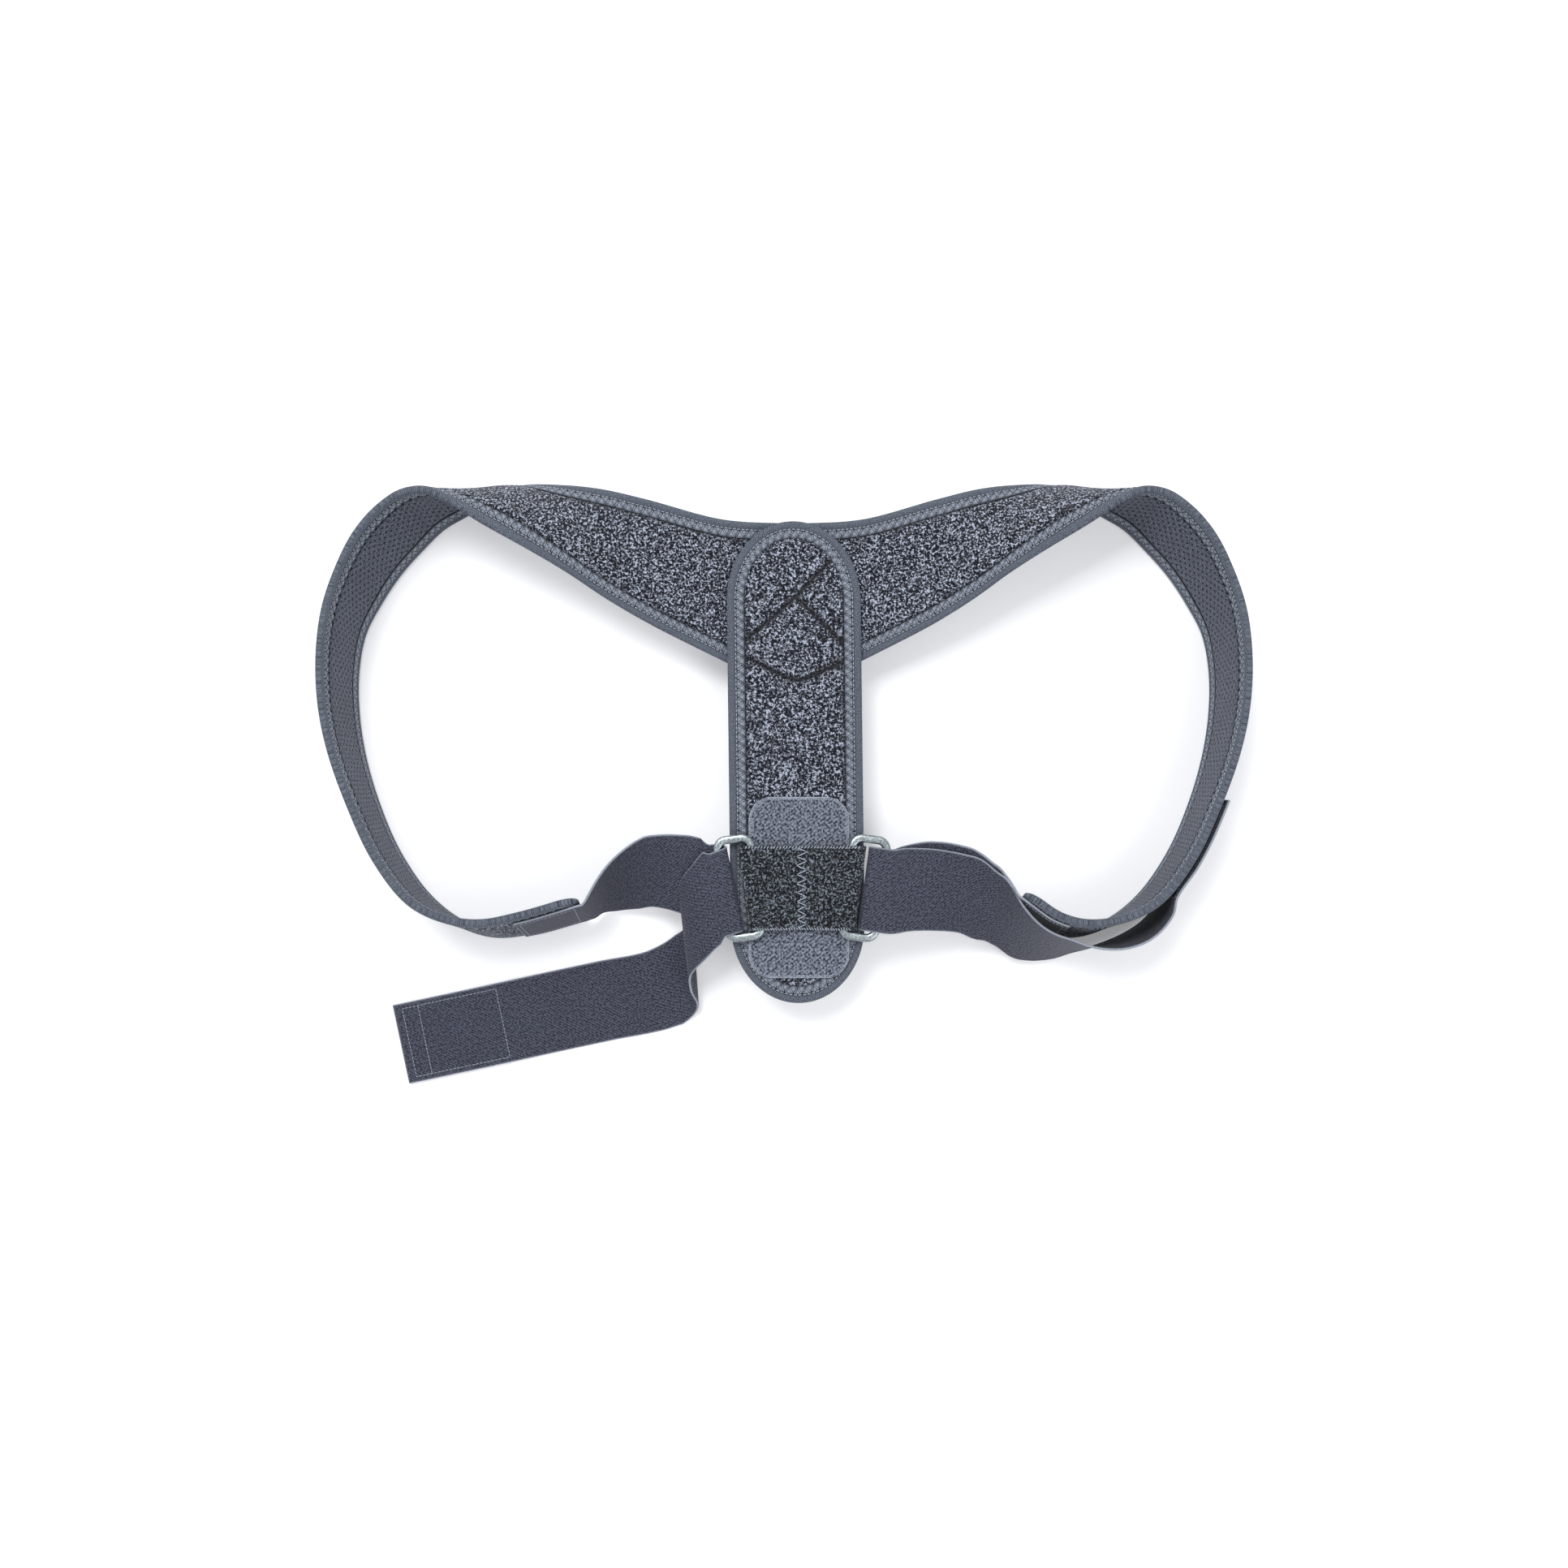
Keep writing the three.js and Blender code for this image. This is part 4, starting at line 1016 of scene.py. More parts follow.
def pad_hem(pad):
    """Out along one edge, round the pad's end with two corners, and back along the other edge.

    Each point is a corner's centre plus the corner's radius in the outward direction. The legs
    are an edge, a corner, the end, a corner and an edge, and get rows by their lengths.
    """
    straight, quarter = pad.length - PAD_END_RADIUS, np.pi / 2
    legs = np.cumsum([0, 1, 0.024, 0.026, 0.024, 1])
    spread = np.linspace(0, legs[-1], 4200)
    centre = np.interp(spread, legs, [0, straight, straight, straight, straight, 0])
    share = np.interp(spread, legs, [0, 0, 0, 1, 1, 1])
    angle = np.interp(spread, legs, [-quarter, -quarter, 0, 0, quarter, quarter])
    out = np.c_[np.cos(angle), np.sin(angle)]
    inner = pad.width(centre + PAD_END_RADIUS * out[:, 0]) - 2 * PAD_END_RADIUS
    middle = np.c_[centre, PAD_END_RADIUS + share * inner]
    return Hem(pad, middle + PAD_END_RADIUS * out, out)


pad_hems = {side: pad_hem(pad) for side, pad in pads.items()}
print("hems", [round(hem.length) for hem in pad_hems.values()])

# %% [markdown]
# The spine strap is a straight strip with two oval ends that leans a little, so its hem is a
# closed line: an ellipse's ends joined by the straight sides.

# %% The spine strap's strip and hem
def flat_strip(middle, width):
    """A flat strip of one width about a middle line that runs down the picture."""
    half = np.array([width / 2, 0, 0])
    return Strip(middle - half, middle + half, np.zeros(len(middle)), 1)


def spine_strip():
    """From the top end to the bottom end, sheared by the lean."""
    share = np.linspace(0, 1, 300)[:, None]
    top = np.array([SPINE_SHIFT, SPINE_TOP_Y, SPINE_Z])
    return flat_strip(top + share * [SPINE_LEAN, -SPINE_LENGTH, 0], SPINE_WIDTH)


def spine_hem(strip):
    """Places half (1 + cos t) across and round (1 - sin t) along, t round the ends."""
    half = SPINE_WIDTH / 2
    ends = []
    for first, centre in ((0, SPINE_ROUND), (np.pi, SPINE_LENGTH - SPINE_ROUND)):
        turn = first + np.linspace(0, np.pi, 160)
        at = np.c_[centre - SPINE_ROUND * np.sin(turn), half + half * np.cos(turn)]
        out = unit(np.c_[-np.sin(turn) / SPINE_ROUND, np.cos(turn) / half])
        ends.append(np.c_[at, out])
    sides = []
    for before, after in ((ends[0][-1], ends[1][0]), (ends[1][-1], ends[0][0])):
        share = np.linspace(0, 1, 160)[1:-1, None]
        sides.append(before + (after - before) * share)
    table = np.concatenate([ends[0], sides[0], ends[1], sides[1], ends[0][:1]])
    return Hem(strip, table[:, :2], table[:, 2:])


spine = spine_strip()
spine_edge = spine_hem(spine)
print("spine hem", round(spine_edge.length))

# %% [markdown]
# The tape is folded lengthwise round the edge. A straight seam pulls it down into a groove, so
# its fold stands up as a smooth roll, and the zigzag seam behind the groove pinches the rest into
# a row of small cushions. Both faces are alike, because both seams go right through.

# %% The tape's section
ROLL_MIDDLE, ROLL_REACH, ROLL_RISE = -0.95, 2.35, 2.5
GROOVE, ZIGZAG_NEAR, ZIGZAG_FAR = -3.5, -4.0, -8.2
TAPE_LOW, GAP_SHARE, GROOVE_WIDTH = 1.5, 0.12, 0.5


def hem_count(hem):
    """Whole zigzags along a hem."""
    return round(hem.length / ZIGZAG)


def tape_face(hem, along, outwards):
    """Height of the tape's face, and its painted light and shade.

    The face is a half ellipse over the fold, and cushions between the zigzags. A zigzag passes a
    share f across at f/2 and 1 - f/2 of its pitch, and the face sinks beside both. The second
    number is painted light: over 0, painted shade, in the groove, in the cushions' gaps and at the
    tape's end where it meets the pile, and under 0, a painted highlight, on the cushions.
    """
    roll = ROLL_RISE * np.sqrt(np.clip(1 - ((outwards - ROLL_MIDDLE) / ROLL_REACH) ** 2, 0, 1))
    across = np.clip((GROOVE - outwards) / (GROOVE + TAPE_OVERLAP), 0, 1)
    phase = along * hem_count(hem) / hem.length
    far = np.clip((ZIGZAG_NEAR - outwards) / (ZIGZAG_NEAR - ZIGZAG_FAR), 0, 1) / 2
    beside = np.minimum(*(np.abs((phase + way * far + 0.5) % 1 - 0.5) for way in (-1, 1)))
    cushion = 1 - bell(beside, GAP_SHARE)
    swell = np.sqrt(np.sin(np.pi * across * 0.92 + 0.12))
    band = TAPE_LOW + (0.1 + 0.9 * cushion) * swell
    groove = bell(outwards - GROOVE, GROOVE_WIDTH)
    inside = smoothstep((GROOVE - outwards) / 0.8)
    # Painted shade in the groove, in the cushions' gaps and at the tape's end; painted highlight
    # on the cushions.
    painted_light = np.clip(
        0.75 * groove + inside * (0.8 - 1.35 * cushion * swell) + 0.9 * (across > 0.97), -0.7, 0.95
    )
    return np.where(outwards > GROOVE, np.maximum(roll, TAPE_LOW + 0.05), band), painted_light


print("groove", tape_face(spine_edge, 0.0, -3.6)[0].round(2))

# %% [markdown]
# The tape itself is that section carried along the hem. The fold, seen edge on, is closed by the
# inner faces, which lie over the foam's edge with a small clearance.

# %% Tapes
TAPE_TOP = np.array([-9.0, -8.7, -8.1, -7.3, -6.4, -5.5, -4.7, -4.0,
                     -3.5, -3.1, -2.5, -1.7, -0.8, 0.1, 0.8, 1.2, 1.4])
ROWS_PER_ZIGZAG = 7


def tape(name, hem, loop=False):
    """A shell whose outline is the face, the fold, the other face and the two inner faces."""
    count = hem_count(hem) * ROWS_PER_ZIGZAG
    along = np.linspace(0, hem.length, count + 1)[:, None]
    inmost = 0.2 - TAPE_OVERLAP
    outwards = np.r_[TAPE_TOP, TAPE_TOP[-2::-1], inmost, GAP, GAP, inmost]
    rise, painted_light = tape_face(hem, along, TAPE_TOP[None])
    far = np.r_[0, np.cumsum(np.hypot(np.diff(TAPE_TOP), np.diff(rise.mean(axis=0))))]
    far = far - np.interp(GROOVE, TAPE_TOP, far)
    rise[:, -1] = 0.0
    inner = np.tile([-SLOT_HALF, -SLOT_HALF, SLOT_HALF, SLOT_HALF], (count + 1, 1))
    height = np.concatenate([rise, -rise[:, -2::-1], inner], axis=1)
    # The inner faces get 0.9, painted shade, where the fold closes over the foam.
    painted_light = np.concatenate([painted_light, painted_light[:, -2::-1], 0 * inner + 0.9], axis=1)
    if loop:
        along, height, painted_light = along[:-1], height[:-1], painted_light[:-1]
    rings = hem.place(along, outwards[None], height)
    across = np.r_[far, far[-2::-1], far[[0, -1, -1, 0, 0]]]
    steps = np.arange(len(rings) + 1) * ZIGZAG / ROWS_PER_ZIGZAG
    uv = np.stack(np.meshgrid(steps, across, indexing="ij"), axis=-1)
    piece = shell(name, rings, uv, loop=loop, painted_light=painted_light)
    piece.data.materials.append(binding_tape)
    return piece


SIDES = {-1: "left", 1: "right"}
for side, label in SIDES.items():
    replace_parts(tape("tape_" + label, pad_hems[side]), "pad_binding_" + label)
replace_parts(tape("tape_spine", spine_edge, loop=True), "spine_binding")

# %% [markdown]
# Stitches are made last on every seam, as real thread: a short bent tube for each stitch, dipping
# into the cloth at both ends. The zigzag is sewn on both faces, and so is the straight seam in
# the groove, whose stitches are 2.6 mm long.

# %% Seams along a hem
STITCH, STITCH_LENGTH = np.linspace(0, 1, 5), 2.6


def sewn_paths(surface, along, across, rise, arch, dip, faces=(1, -1)):
    """Stitches over a face's rise, arch sin(pi t) - dip higher, and the way up at each place."""
    rise = rise + (arch * np.sin(np.pi * STITCH) - dip)
    low = np.concatenate([surface.place(along, across, face * rise) for face in faces])
    high = np.concatenate([surface.place(along, across, face * (rise + 1)) for face in faces])
    return low, high - low


def hem_seams(name, hem):
    """Zigzag stitches to and fro, and straight ones in the groove, on both faces."""
    half = hem.length / hem_count(hem) / 2
    index = np.arange(2 * hem_count(hem))[:, None]
    near, far = ZIGZAG_NEAR + 0.2, ZIGZAG_FAR
    start, end = np.where(index % 2 == 0, near, far), np.where(index % 2 == 0, far, near)
    zig_along, zig_out = (index + STITCH) * half, start + (end - start) * STITCH
    straight = np.arange(round(hem.length / STITCH_LENGTH))[:, None]
    row_along = (straight + 0.08 + 0.84 * STITCH) * hem.length / len(straight)
    row_out = np.full_like(row_along, GROOVE - 0.1)
    along, outwards = np.concatenate([zig_along, row_along]), np.concatenate([zig_out, row_out])
    rise = tape_face(hem, along, outwards)[0]
    piece = threads(name, *sewn_paths(hem, along, outwards, rise, 0.2, 0.12), 0.28)
    piece.data.materials.append(seam_thread)


for side, label in SIDES.items():
    hem_seams("seams_" + label, pad_hems[side])
hem_seams("seams_spine", spine_edge)

# %% [markdown]
# A pad is foam between two cloths. It is squeezed thin where the tape grips it, swells beside the
# tape and lies a little uneven beyond it. The same function makes the spine strap, so it asks for
# the depth from the nearest edge at any place, and for the relief that is added there.

# %% Foam between two cloths
FOAM_PUFF, GRIPPED, SWELL_OVER, FULL_DEPTH = 2.45, 8.2, 3.4, 16.5
DEPTHS = np.array([0.3, 4, 7.4, 8.4, 9.0, 9.5, 10.1, 10.8, 11.8, 13.2, 15.0])


def foam_rise(depth):
    """Half thickness: the squeezed edge's, then smoothly up to the foam's over SWELL_OVER."""
    return PAD_EDGE_HALF + (FOAM_PUFF - PAD_EDGE_HALF) * smoothstep((depth - GRIPPED) / SWELL_OVER)


def spread_out(full, near, between):
    """Places across: near one side, evenly over the middle, and near the other side."""
    share = np.linspace(0, 1, between + 2)[1:-1]
    last = near[:, -1:]
    return np.concatenate([near, last + (full - 2 * last) * share, full - near[:, ::-1]], axis=1)


def two_faced(name, strip, along, across, rise, painted_light, middle=0.0, lined=False):
    """A shell whose two faces lie a rise over and under a middle height on the strip.

    Its UV is (along, across), and a lined shell's lower face takes the second material.
    """
    height = middle + np.concatenate([rise, -rise[:, ::-1]], axis=1)
    across, painted_light = (np.concatenate([v, v[:, ::-1]], axis=1) for v in (across, painted_light))
    rings = strip.place(along[:, None], across, height)
    closed = np.concatenate([across, across[:, :1]], axis=1)
    uv = np.stack(np.broadcast_arrays(along[:, None], closed), axis=-1)
    lower = np.arange(across.shape[1]) >= across.shape[1] // 2
    return shell(name, rings, uv, finish_of=lower.astype(int) if lined else None, painted_light=painted_light)


def foam(name, strip, along, inset, depth_of, relief_of, painted_shade_of, between):
    """Sections across the strip, with the pile on the upper face and the lining below."""
    full, inset = strip.width(along)[:, None], inset[:, None]
    near = inset + DEPTHS * np.minimum(1, (full / 2 - inset) / FULL_DEPTH)
    across = spread_out(full, near, between)
    depth = depth_of(along[:, None], across)
    rise = foam_rise(depth) + relief_of(along[:, None], across)
    # Painted shade: a dark line beside the tape where the pile meets it, plus the seams' painted
    # shade.
    painted_light = np.clip(0.7 * bell(depth - 9.2, 0.9) + painted_shade_of(along[:, None], across), 0, 0.95)
    piece = two_faced(name, strip, along, across, rise, painted_light, lined=True)
    piece.data.materials.append(pad_pile)
    piece.data.materials.append(pad_lining)
    return piece


def end_inset(into, radius):
    """How far a rounded end cuts in from the side, at a distance into its corner."""
    return radius - np.sqrt(np.clip(radius**2 - np.clip(into, 0, radius) ** 2, 0, None))


print("foam", foam_rise(np.array([5.0, 10.0, 20.0])))

# %% [markdown]
# The pads follow their strips. Slow waves a few tenths of a millimetre high keep the pile from
# looking like a machined surface where it turns over the shoulders.

# %% The pads
PAD_ROW_STEP = 2.2


def pad_foam(side, label):
    """Rows closer at the rounded end, and depth as the distance to the nearest edge."""
    pad = pads[side]
    straight = pad.length - PAD_END_RADIUS
    rounded = PAD_END_RADIUS * np.sin(np.linspace(0, np.pi / 2 * 0.97, 12)[1:])
    along = np.r_[np.linspace(0, straight, round(straight / PAD_ROW_STEP)), straight + rounded]

    def depth(at, across):
        """Distance to the nearer side or to the end."""
        beside = np.minimum(across, pad.width(at) - across)
        return np.minimum(beside, pad.length - at)

    def level(at, across):
        """No seam creases a pad beyond its tape, so it adds no painted shade."""
        return np.zeros(np.broadcast(at, across).shape)

    def waves(at, across):
        """Two slow sines, each bent by the other direction's, and none beside the tape."""
        slow = np.sin(at / 17 + np.sin(across / 9)) * np.sin(across / 13 + np.sin(at / 31))
        return 0.16 * slow * smoothstep((depth(at, across) - 12) / 8)

    piece = foam("pad_foam_" + label, pad, along, end_inset(along - straight, PAD_END_RADIUS),
                 depth, waves, level, between=14)
    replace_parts(piece, "pad_" + label)


for side, label in SIDES.items():
    pad_foam(side, label)

# %% [markdown]
# The spine strap is sewn down over the yoke with a diagonal, a second diagonal that meets it, and
# a V under both. Each seam pulls the foam into a sharp groove with soft shoulders, and the groove
# is darkened with painted shade. The seams are kept as straight legs in flat strap coordinates,
# and the groove's depth and its painted shade depend on the distance to them.

# %% The spine strap
def on_spine(points):
    """Places given from the middle of the picture turned into along and across on the strap."""
    x, y = np.array(points, float).T
    along = SPINE_TOP_Y - y
    middle = SPINE_SHIFT + SPINE_LEAN * along / SPINE_LENGTH
    return np.c_[along, x - middle + SPINE_WIDTH / 2]


SHARP_DEPTH, SOFT_DEPTH = 1.1, 0.5
QUILTING = [
    on_spine([(29.4, 135.2), (8.3, 113.1), (-11.1, 95.8), (-27.5, 82.3)]),
    on_spine([(9.4, 109.6), (35.6, 83.9)]),
    on_spine([(-27.6, 77.4), (-19.2, 74.4), (-3.6, 66.2), (3.4, 62.8), (8.6, 62.1), (13.4, 63.3),
              (35.1, 73.0), (40.2, 75.6)]),
]


def away_from(lines, along, across):
    """Distance to the nearest leg: to the leg's start plus its own share of the way to its end."""
    nearest = np.full(np.broadcast(along, across).shape, 1e3)
    for line in lines:
        for (u0, v0), (u1, v1) in zip(line[:-1], line[1:]):
            du, dv = u1 - u0, v1 - v0
            share = np.clip(((along - u0) * du + (across - v0) * dv) / (du**2 + dv**2), 0, 1)
            distance = np.hypot(along - u0 - share * du, across - v0 - share * dv)
            nearest = np.minimum(nearest, distance)
    return nearest


def spine_depth(along, across):
    """Distance in from the oval outline: (1 - q) over the slope of q, q = 1 on the outline."""
    half = SPINE_WIDTH / 2
    x = across - half
    y = np.where(along < SPINE_ROUND, SPINE_ROUND - along,
                 np.maximum(0, along - SPINE_LENGTH + SPINE_ROUND))
    q = (x / half) ** 2 + (y / SPINE_ROUND) ** 2
    slope = 2 * np.hypot(x / half**2, y / SPINE_ROUND**2)
    rounded = (1 - q) / np.maximum(slope, 0.02)
    return np.where(y > 0, np.minimum(rounded, half - np.abs(x)), half - np.abs(x))


def spine_relief(along, across):
    """A sharp and a soft bell over the distance to a seam, and slow waves."""
    away = away_from(QUILTING, along, across)
    groove = -SHARP_DEPTH * bell(away, 1.4) - SOFT_DEPTH * bell(away, 4.2)
    waves = 0.1 * np.sin(along / 12 + np.sin(across / 8))
    return (groove + waves) * smoothstep((spine_depth(along, across) - 9) / 4)


def spine_painted_shade(along, across):
    """Painted shade in the quilting grooves: a narrow and a wider bell over the distance to a
    seam.
    """
    away = away_from(QUILTING, along, across)
    return 0.95 * bell(away, 1.2) + 0.35 * bell(away, 2.8)


SPINE_ROW_STEP = 0.8


def spine_foam():
    """Rows closer where the oval ends close up."""
    top = SPINE_ROUND * (1 - np.cos(np.linspace(0.03, np.pi / 2, 60)))
    middle = np.arange(SPINE_ROUND + SPINE_ROW_STEP, SPINE_LENGTH - SPINE_ROUND, SPINE_ROW_STEP)
    along = np.r_[top, middle, SPINE_LENGTH - top[::-1]]
    end = np.minimum(along, SPINE_LENGTH - along)
    into = np.clip(1 - end / SPINE_ROUND, 0, 1)
    inset = SPINE_WIDTH / 2 * (1 - np.sqrt(1 - into**2))
    piece = foam("spine_foam", spine, along, inset, spine_depth, spine_relief, spine_painted_shade,
                 between=60)
    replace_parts(piece, "spine_strap")


spine_foam()

# %% [markdown]
# Straight seams on any strip are laid out the same way: a line in flat coordinates is cut into
# stitches of an even length, and each becomes a bent tube that dips at its ends.

# %% Seams on a strip
def seam(name, strip, lines, height_of, cloth, length, radius, faces=(1,)):
    """Stitches of one length along each line of places, on the faces asked for."""
    along, across = [], []
    for line in lines:
        line = np.asarray(line, float)
        far = np.r_[0, np.cumsum(np.hypot(*np.diff(line, axis=0).T))]
        count = max(1, round(far[-1] / length))
        at = (np.arange(count)[:, None] + 0.07 + 0.86 * STITCH) * far[-1] / count
        along.append(np.interp(at, far, line[:, 0]))
        across.append(np.interp(at, far, line[:, 1]))
    along, across = np.concatenate(along), np.concatenate(across)
    paths = sewn_paths(strip, along, across, height_of(along, across), 0.18, 0.08, faces)
    piece = threads(name, *paths, radius)
    piece.data.materials.append(cloth)


def spine_face(along, across):
    """The spine strap's own face."""
    return foam_rise(spine_depth(along, across)) + spine_relief(along, across)


seam("quilting", spine, QUILTING, spine_face, dark_thread,
     length=3.0, radius=0.24, faces=(1, -1))

# %% [markdown]
# Webbing and hook tape are thin woven webs. Each is a strip with a rounded edge and a raised
# selvedge, where the weft yarns turn back. One function makes them all, from rows along the
# strip.

# %% Thin webs
EDGES = np.array([0.0, 0.06, 0.2, 0.45, 0.9, 1.4, 1.9, 2.6, 3.6])


def web_rise(depth, half, selvedge):
    """Half thickness: a quarter ellipse at the edge, a low wave at the selvedge, then flat."""
    edge = np.clip(depth / 0.5, 0, 1)
    ridge = bell(depth - 1.1, 0.55) - 0.4 * bell(depth - 2.3, 0.6)
    return half * np.sqrt(1 - (1 - edge) ** 2) + selvedge * ridge


def web(name, strip, along, inset, half, middle, selvedge, between, margin=0.0, painted_highlight=0.0):
    """A shell of web_rise about a height over the strip, inset from its sides.

    Its painted-light number is a bell over the distance to the edge, under 0, a painted highlight
    along the edge.
    """
    full, inset = strip.width(along)[:, None] - 2 * margin, inset[:, None]
    across = spread_out(full, inset + EDGES, between)
    end = np.minimum(along - along[0], along[-1] - along)[:, None]
    depth = np.minimum(np.minimum(across - inset, full - inset - across), end)
    rise = web_rise(depth, half, selvedge)
    return two_faced(name, strip, along, across + margin, rise, -painted_highlight * bell(depth, 0.6), middle)


def rows(start, end, step):
    """Places from start to end, with a few more close to both ends for the rounded cut."""
    inner = np.linspace(start + 1, end - 1, max(2, round((end - start) / step)))
    return np.r_[start + EDGES[:5], inner, end - EDGES[4::-1]]


print("web", web_rise(np.array([0, 0.25, 1.1, 5.0]), 0.7, 0.1).round(2))

# %% [markdown]
# The hook tab is grey hook tape cut with round corners: its woven back faces up and its hooks
# hold in the pile of the spine strap. A pale thread is sewn round it close to the edge.

# %% The hook tab
def rounded_line(length, width, radius, inset):
    """Round a rectangle with round corners: each corner's centre plus its radius at an angle."""
    reach = radius - inset
    turn = np.linspace(0, np.pi / 2, 12)
    corners = [(length - radius, width - radius, 0), (radius, width - radius, np.pi / 2),
               (radius, radius, np.pi), (length - radius, radius, 1.5 * np.pi)]
    points = [np.c_[u + reach * np.cos(first + turn), v + reach * np.sin(first + turn)]
              for u, v, first in corners]
    return np.concatenate(points + [points[0][:1]])


tab_down = np.linspace(0, TAB_LENGTH, 120)[:, None]
tab = flat_strip(TAB_CENTRE + [0, TAB_LENGTH / 2, 0] - tab_down * [0, 1, 0], TAB_WIDTH)
tab_rows = rows(0, TAB_LENGTH, 1.5)
tab_end = np.minimum(tab_rows, TAB_LENGTH - tab_rows)
# The last setting paints a highlight along the tab's edge.
hook_tab = web("tab_web", tab, tab_rows, end_inset(TAB_ROUND - tab_end, TAB_ROUND),
               half=TAB_THICKNESS / 2 - 0.1, middle=0.0, selvedge=0.12, between=20, painted_highlight=0.8)
hook_tab.data.materials.append(tab_weave)
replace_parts(hook_tab, "hook_tab")


def tab_top(along, across):
    """The tab's upper face, a little sunk under the thread."""
    return np.full(np.broadcast(along, across).shape, TAB_THICKNESS / 2 - 0.02)


tab_line = rounded_line(TAB_LENGTH, TAB_WIDTH, TAB_ROUND, 1.3)
seam("tab_seam", tab, [tab_line], tab_top, seam_thread, length=1.5, radius=0.3)

# %% [markdown]
# The ring band is one strip of pile cloth folded round both rings' inner bars and sewn to itself
# in the middle. Its section is a closed line: flat along the tab, round each bar, and dipping to
# the seam. The band is wider where it holds the rings' tops apart, so it is sheared into a
# trapezoid.

# %% The band's course
BAND_HEIGHT = BAND_TOP_Z - BAND_Z
BAND_ROUND = BAND_HEIGHT / 2
BAND_LEVEL = RING_SPREAD - RING_WIDTH / 2 - 1.5
OUT, ROUND, BACK = 40, 16, 60


def band_course():
    """Middle line (x, z) of the band from the seam's underside round the right bar and back."""
    bend, half = BAND_REACH - BAND_ROUND, BAND_THICKNESS / 2
    out = np.linspace(0, bend, OUT)
    turn = np.linspace(-np.pi / 2, np.pi / 2, ROUND + 2)[1:-1]
    back = np.linspace(bend, 0, BACK)
    seam_z, level_z = 2 * BAND_THICKNESS + 0.4 - half, BAND_HEIGHT - half
    dip = seam_z + (level_z - seam_z) * smoothstep(back / BAND_LEVEL)
    right = np.concatenate([
        np.c_[out, np.full(len(out), half)],
        [bend, BAND_ROUND] + (BAND_ROUND - half) * np.c_[np.cos(turn), np.sin(turn)],
        np.c_[back, dip],
    ])
    left = right[-2:0:-1] * [-1, 1]
    return np.concatenate([right, left]) + [0, BAND_Z]


def on_band(x, y, z):
    """The band's trapezoid: x grows by tan(tilt) / reach for each millimetre up the picture."""
    spread = 1 + np.tan(RING_TILT) / BAND_REACH * y
    middle = SPINE_SHIFT + BAND_SHIFT
    return np.stack(np.broadcast_arrays(middle + x * spread, SLIDER_Y + y, z), axis=-1)


band_line = band_course()
print("band course", len(band_line), "places, height", round(BAND_HEIGHT, 1))

# %% [markdown]
# The cloth's own section is a thin web, 50 mm wide with rounded edges, carried round that course.

# %% The band
def band_cloth():
    """At each place: across the band, over and under its middle line by web_rise."""
    before, after = np.roll(band_line, 1, axis=0), np.roll(band_line, -1, axis=0)
    run = unit(after - before)
    out = np.c_[run[:, 1], -run[:, 0]]
    depth = np.r_[EDGES, np.linspace(4.5, BAND_WIDTH / 2, 10)]
    across = np.r_[depth, BAND_WIDTH - depth[-2::-1]]
    rise = web_rise(np.minimum(across, BAND_WIDTH - across), BAND_THICKNESS / 2, 0.08)
    across, rise = np.r_[across, across[::-1]] - BAND_WIDTH / 2, np.r_[rise, -rise[::-1]]
    x = band_line[:, :1] + out[:, :1] * rise
    z = band_line[:, 1:] + out[:, 1:] * rise
    rings = on_band(x, across[None], z)
    far = np.r_[0, np.cumsum(np.hypot(*np.diff(band_line, axis=0).T)), 0]
    uv = np.stack(np.meshgrid(far, np.r_[across, across[0]], indexing="ij"), axis=-1)
    piece = shell("band_cloth", rings, uv, loop=True)
    piece.data.materials.append(band_pile)
    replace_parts(piece, "ring_band")


band_cloth()

# %% [markdown]
# A wide zigzag closes the band in the middle, and a pale overlocked thread whips both cut edges.

# %% The band's seams
ZIGZAGS, WHIP_STEP = 18, 1.7


def band_top(x):
    """Height of the band's upper face at x from the seam, from the right half's way back."""
    top = band_line[OUT + ROUND:OUT + ROUND + BACK]
    return np.interp(np.abs(x), top[::-1, 0], top[::-1, 1]) + BAND_THICKNESS / 2


def band_seams():
    """A zigzag 6 mm wide down the middle, and slanted whip stitches along both edges."""
    lift = 0.25 * np.sin(np.pi * STITCH) - 0.05
    y = np.linspace(-BAND_WIDTH / 2 + 1, BAND_WIDTH / 2 - 1, ZIGZAGS + 1)
    x = np.where(np.arange(ZIGZAGS + 1) % 2 == 0, -3.0, 3.0)
    zig_x, zig_y = (v[:-1, None] + np.diff(v)[:, None] * STITCH for v in (x, y))
    paths = [on_band(zig_x, zig_y, band_top(zig_x) + lift)]
    whip_x = np.arange(-BAND_REACH + 4, BAND_REACH - 4, WHIP_STEP)[:, None] + 1.3 * STITCH
    for edge in (-1, 1):
        whip_y = edge * (BAND_WIDTH / 2 - 1.6 * (1 - STITCH)) + 0 * whip_x
        paths.append(on_band(whip_x, whip_y, band_top(whip_x) + lift))
    paths = np.concatenate(paths)
    piece = threads("band_seams", paths, np.broadcast_to([0.0, 0.0, 1.0], paths.shape), 0.28)
    piece.data.materials.append(seam_thread)


band_seams()

# %% [markdown]
# Each ring is a cast frame. Its section is a flattened oval, carried round a rectangle with round
# corners, so that both its rims catch a thin line of light, as the real plated casting does.

# %% The rings
def oval(wave, power=2.6):
    """A cosine or sine bent so that |x|^power + |z|^power = 1 goes round the flattened oval."""
    return np.sign(wave) * np.abs(wave) ** (2 / power)


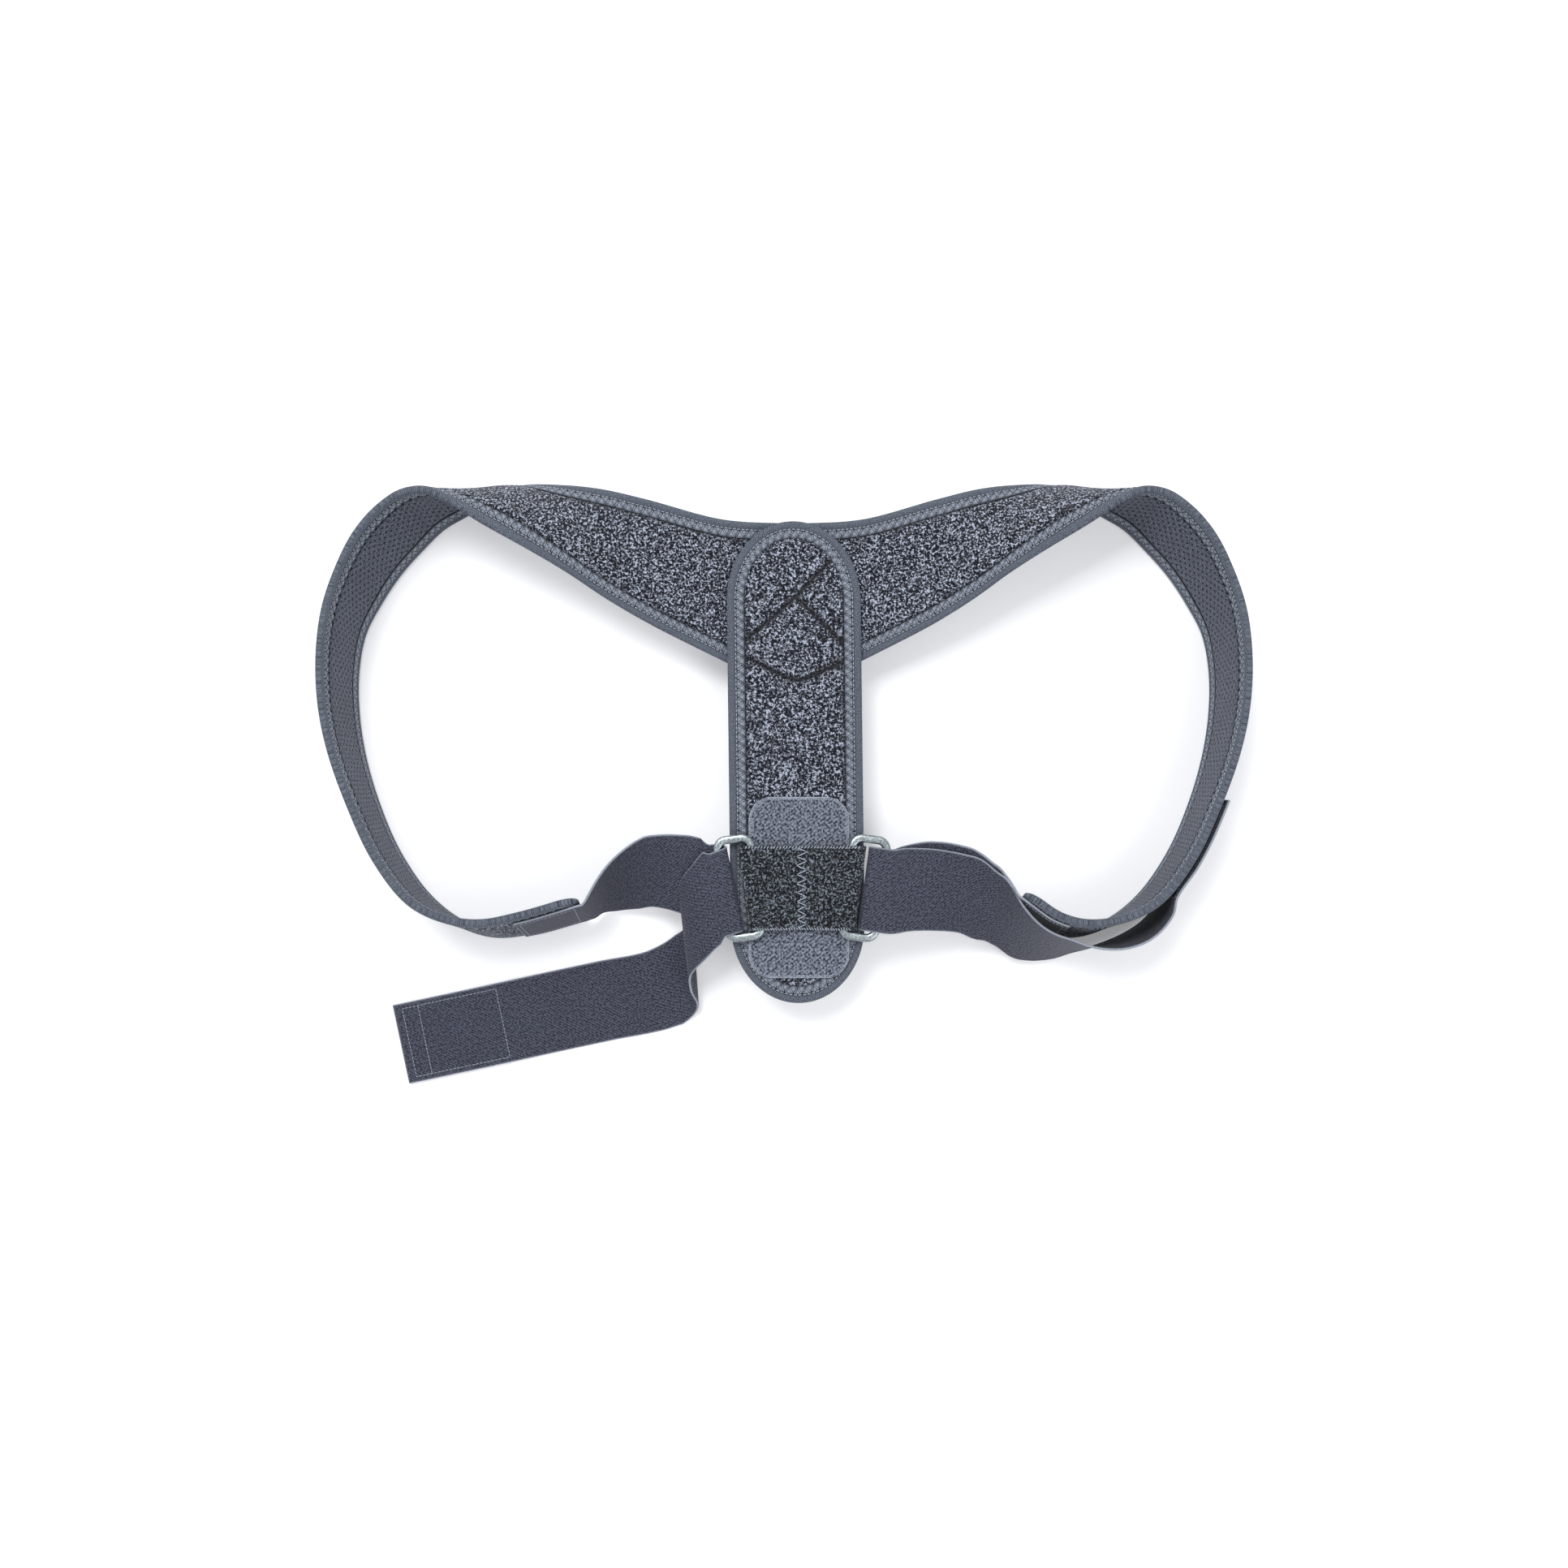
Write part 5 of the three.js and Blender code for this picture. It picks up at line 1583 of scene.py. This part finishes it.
def ring(side, label):
    """Corner centre + radius at an angle, straight bars between, and the oval round the line."""
    middle, out, top = ring_axes(side)
    radius = RING_CORNER - RING_BAR / 2
    reach = np.array([RING_WIDTH - RING_BAR, RING_LENGTH - RING_BAR]) / 2 - radius
    share = np.linspace(0, 1, 14)
    corners = [reach * way for way in ([1, 1], [-1, 1], [-1, -1], [1, -1], [1, 1])]
    angle, centre = [], []
    for quarter, (corner, following) in enumerate(zip(corners[:-1], corners[1:])):
        turn = (quarter + share) * np.pi / 2
        angle += [turn, np.full(12, turn[-1])]
        centre += [np.tile(corner, (14, 1)), corner + (following - corner) * share[1:-1, None]]
    angle, centre = np.concatenate(angle), np.concatenate(centre)
    way = np.c_[np.cos(angle), np.sin(angle)]
    line = centre + radius * way
    t = np.linspace(0, TAU, 28, endpoint=False)
    aside, above = RING_BAR / 2 * oval(np.cos(t)), RING_THICKNESS / 2 * oval(np.sin(t))
    flat = line[:, None] + way[:, None] * aside[:, None]
    rings = middle + flat[..., :1] * out + flat[..., 1:] * top
    rings = rings + above[:, None] * np.array([0, 0, 1.0])
    n, m = len(line), len(t)
    uv = np.stack(np.meshgrid(np.arange(n + 1.0), np.arange(m + 1.0), indexing="ij"), axis=-1)
    piece = shell("ring_metal_" + label, rings, uv, loop=True)
    piece.data.materials.append(ring_metal)
    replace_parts(piece, "ring_" + label)


for side, label in SIDES.items():
    ring(side, label)

# %% [markdown]
# The elastic straps are webbing 50 mm wide and 1.4 mm thick. Webbing is modelled directly from
# its course: a cloth simulation would need it remeshed thicker than it is, and would erase it.

# %% The elastic straps
def elastic(side, label):
    """Rows every 1.6 mm along the strap's strip."""
    strip = straps[side]
    along = rows(0, strip.length, 1.6)
    # The last setting paints a highlight along both edges of the strap.
    piece = web("elastic_web_" + label, strip, along, np.zeros(len(along)),
                half=ELASTIC_HALF - 0.06, middle=0.0, selvedge=0.1, between=20, painted_highlight=0.6)
    piece.data.materials.append(elastic_twill)
    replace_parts(piece, "elastic_" + label)


for side, label in SIDES.items():
    elastic(side, label)

# %% [markdown]
# Each strap is sewn to its pad with a box of stitches, and its hook patch is sewn on with a box
# round the patch. On the free end a second row is sewn close to the first, where the end is
# turned in.

# %% Seams on the straps
PAD_BOX_IN, PATCH_BOX_IN = 4, 3.4


def box_of(start, end, near):
    """A closed rectangle of places, near mm in from both edges of the strap."""
    far = ELASTIC_WIDTH - near
    return [(start, near), (end, near), (end, far), (start, far), (start, near)]


def strap_face(along, across):
    """The strap's own face, a little sunk under the thread."""
    return np.full(np.broadcast(along, across).shape, ELASTIC_HALF - 0.04)


for side, label in SIDES.items():
    strip = straps[side]
    end = strip.length
    boxes = [
        box_of(3, SEWN[side] - 2, PAD_BOX_IN),
        box_of(end - 65, end - 5.6, PATCH_BOX_IN),
        [(end - 15.5, PATCH_BOX_IN), (end - 15.5, ELASTIC_WIDTH - PATCH_BOX_IN)],
    ]
    seam("strap_seams_" + label, strip, boxes, strap_face, seam_thread,
         length=2.4, radius=0.2, faces=(1, -1))

# %% [markdown]
# A hook patch is a thin backing with rows of stiff nylon hooks that all lean one way. The left
# one faces the table under the free end. The right one lies in the room between its strap and its
# pad, with its hooks towards the pile.

# %% The hook patches
HOOK_PITCH = 1.7
HOOK_BEND = np.array([0, 0.05, 0.15, 0.45, 0.7])
HOOK_CLIMB = np.array([1.55, 1.95, 2.25, 2.38, 2.12])


def patch(side, label):
    """A backing 0.7 mm thick, and hooks that rise, bend over and point back to it."""
    strip = straps[side]
    start, end = strip.length - PATCH_LENGTH + 1, strip.length - 3.5
    along = rows(start, end, 2.0)
    margin = (ELASTIC_WIDTH - PATCH_WIDTH) / 2
    backing = web("patch_web_" + label, strip, along, np.zeros(len(along)), half=0.35,
                  middle=ELASTIC_HALF + GAP + 0.3, selvedge=0.0, between=12, margin=margin)
    backing.data.materials.append(hook_pile)
    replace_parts(backing, "hook_patch_" + label)
    inner = margin + 1.5
    u, v = np.meshgrid(np.arange(start + 1.5, end - 1.5, HOOK_PITCH),
                       np.arange(inner, ELASTIC_WIDTH - inner, HOOK_PITCH))
    u, v = u.ravel()[:, None] + HOOK_BEND, v.ravel()[:, None]
    places = strip.place(u, v, HOOK_CLIMB)
    hooks = threads("hooks_" + label, places, strip.place(u, v + 1, HOOK_CLIMB) - places, 0.13)
    hooks.data.materials.append(hook_pile)


for side, label in SIDES.items():
    patch(side, label)
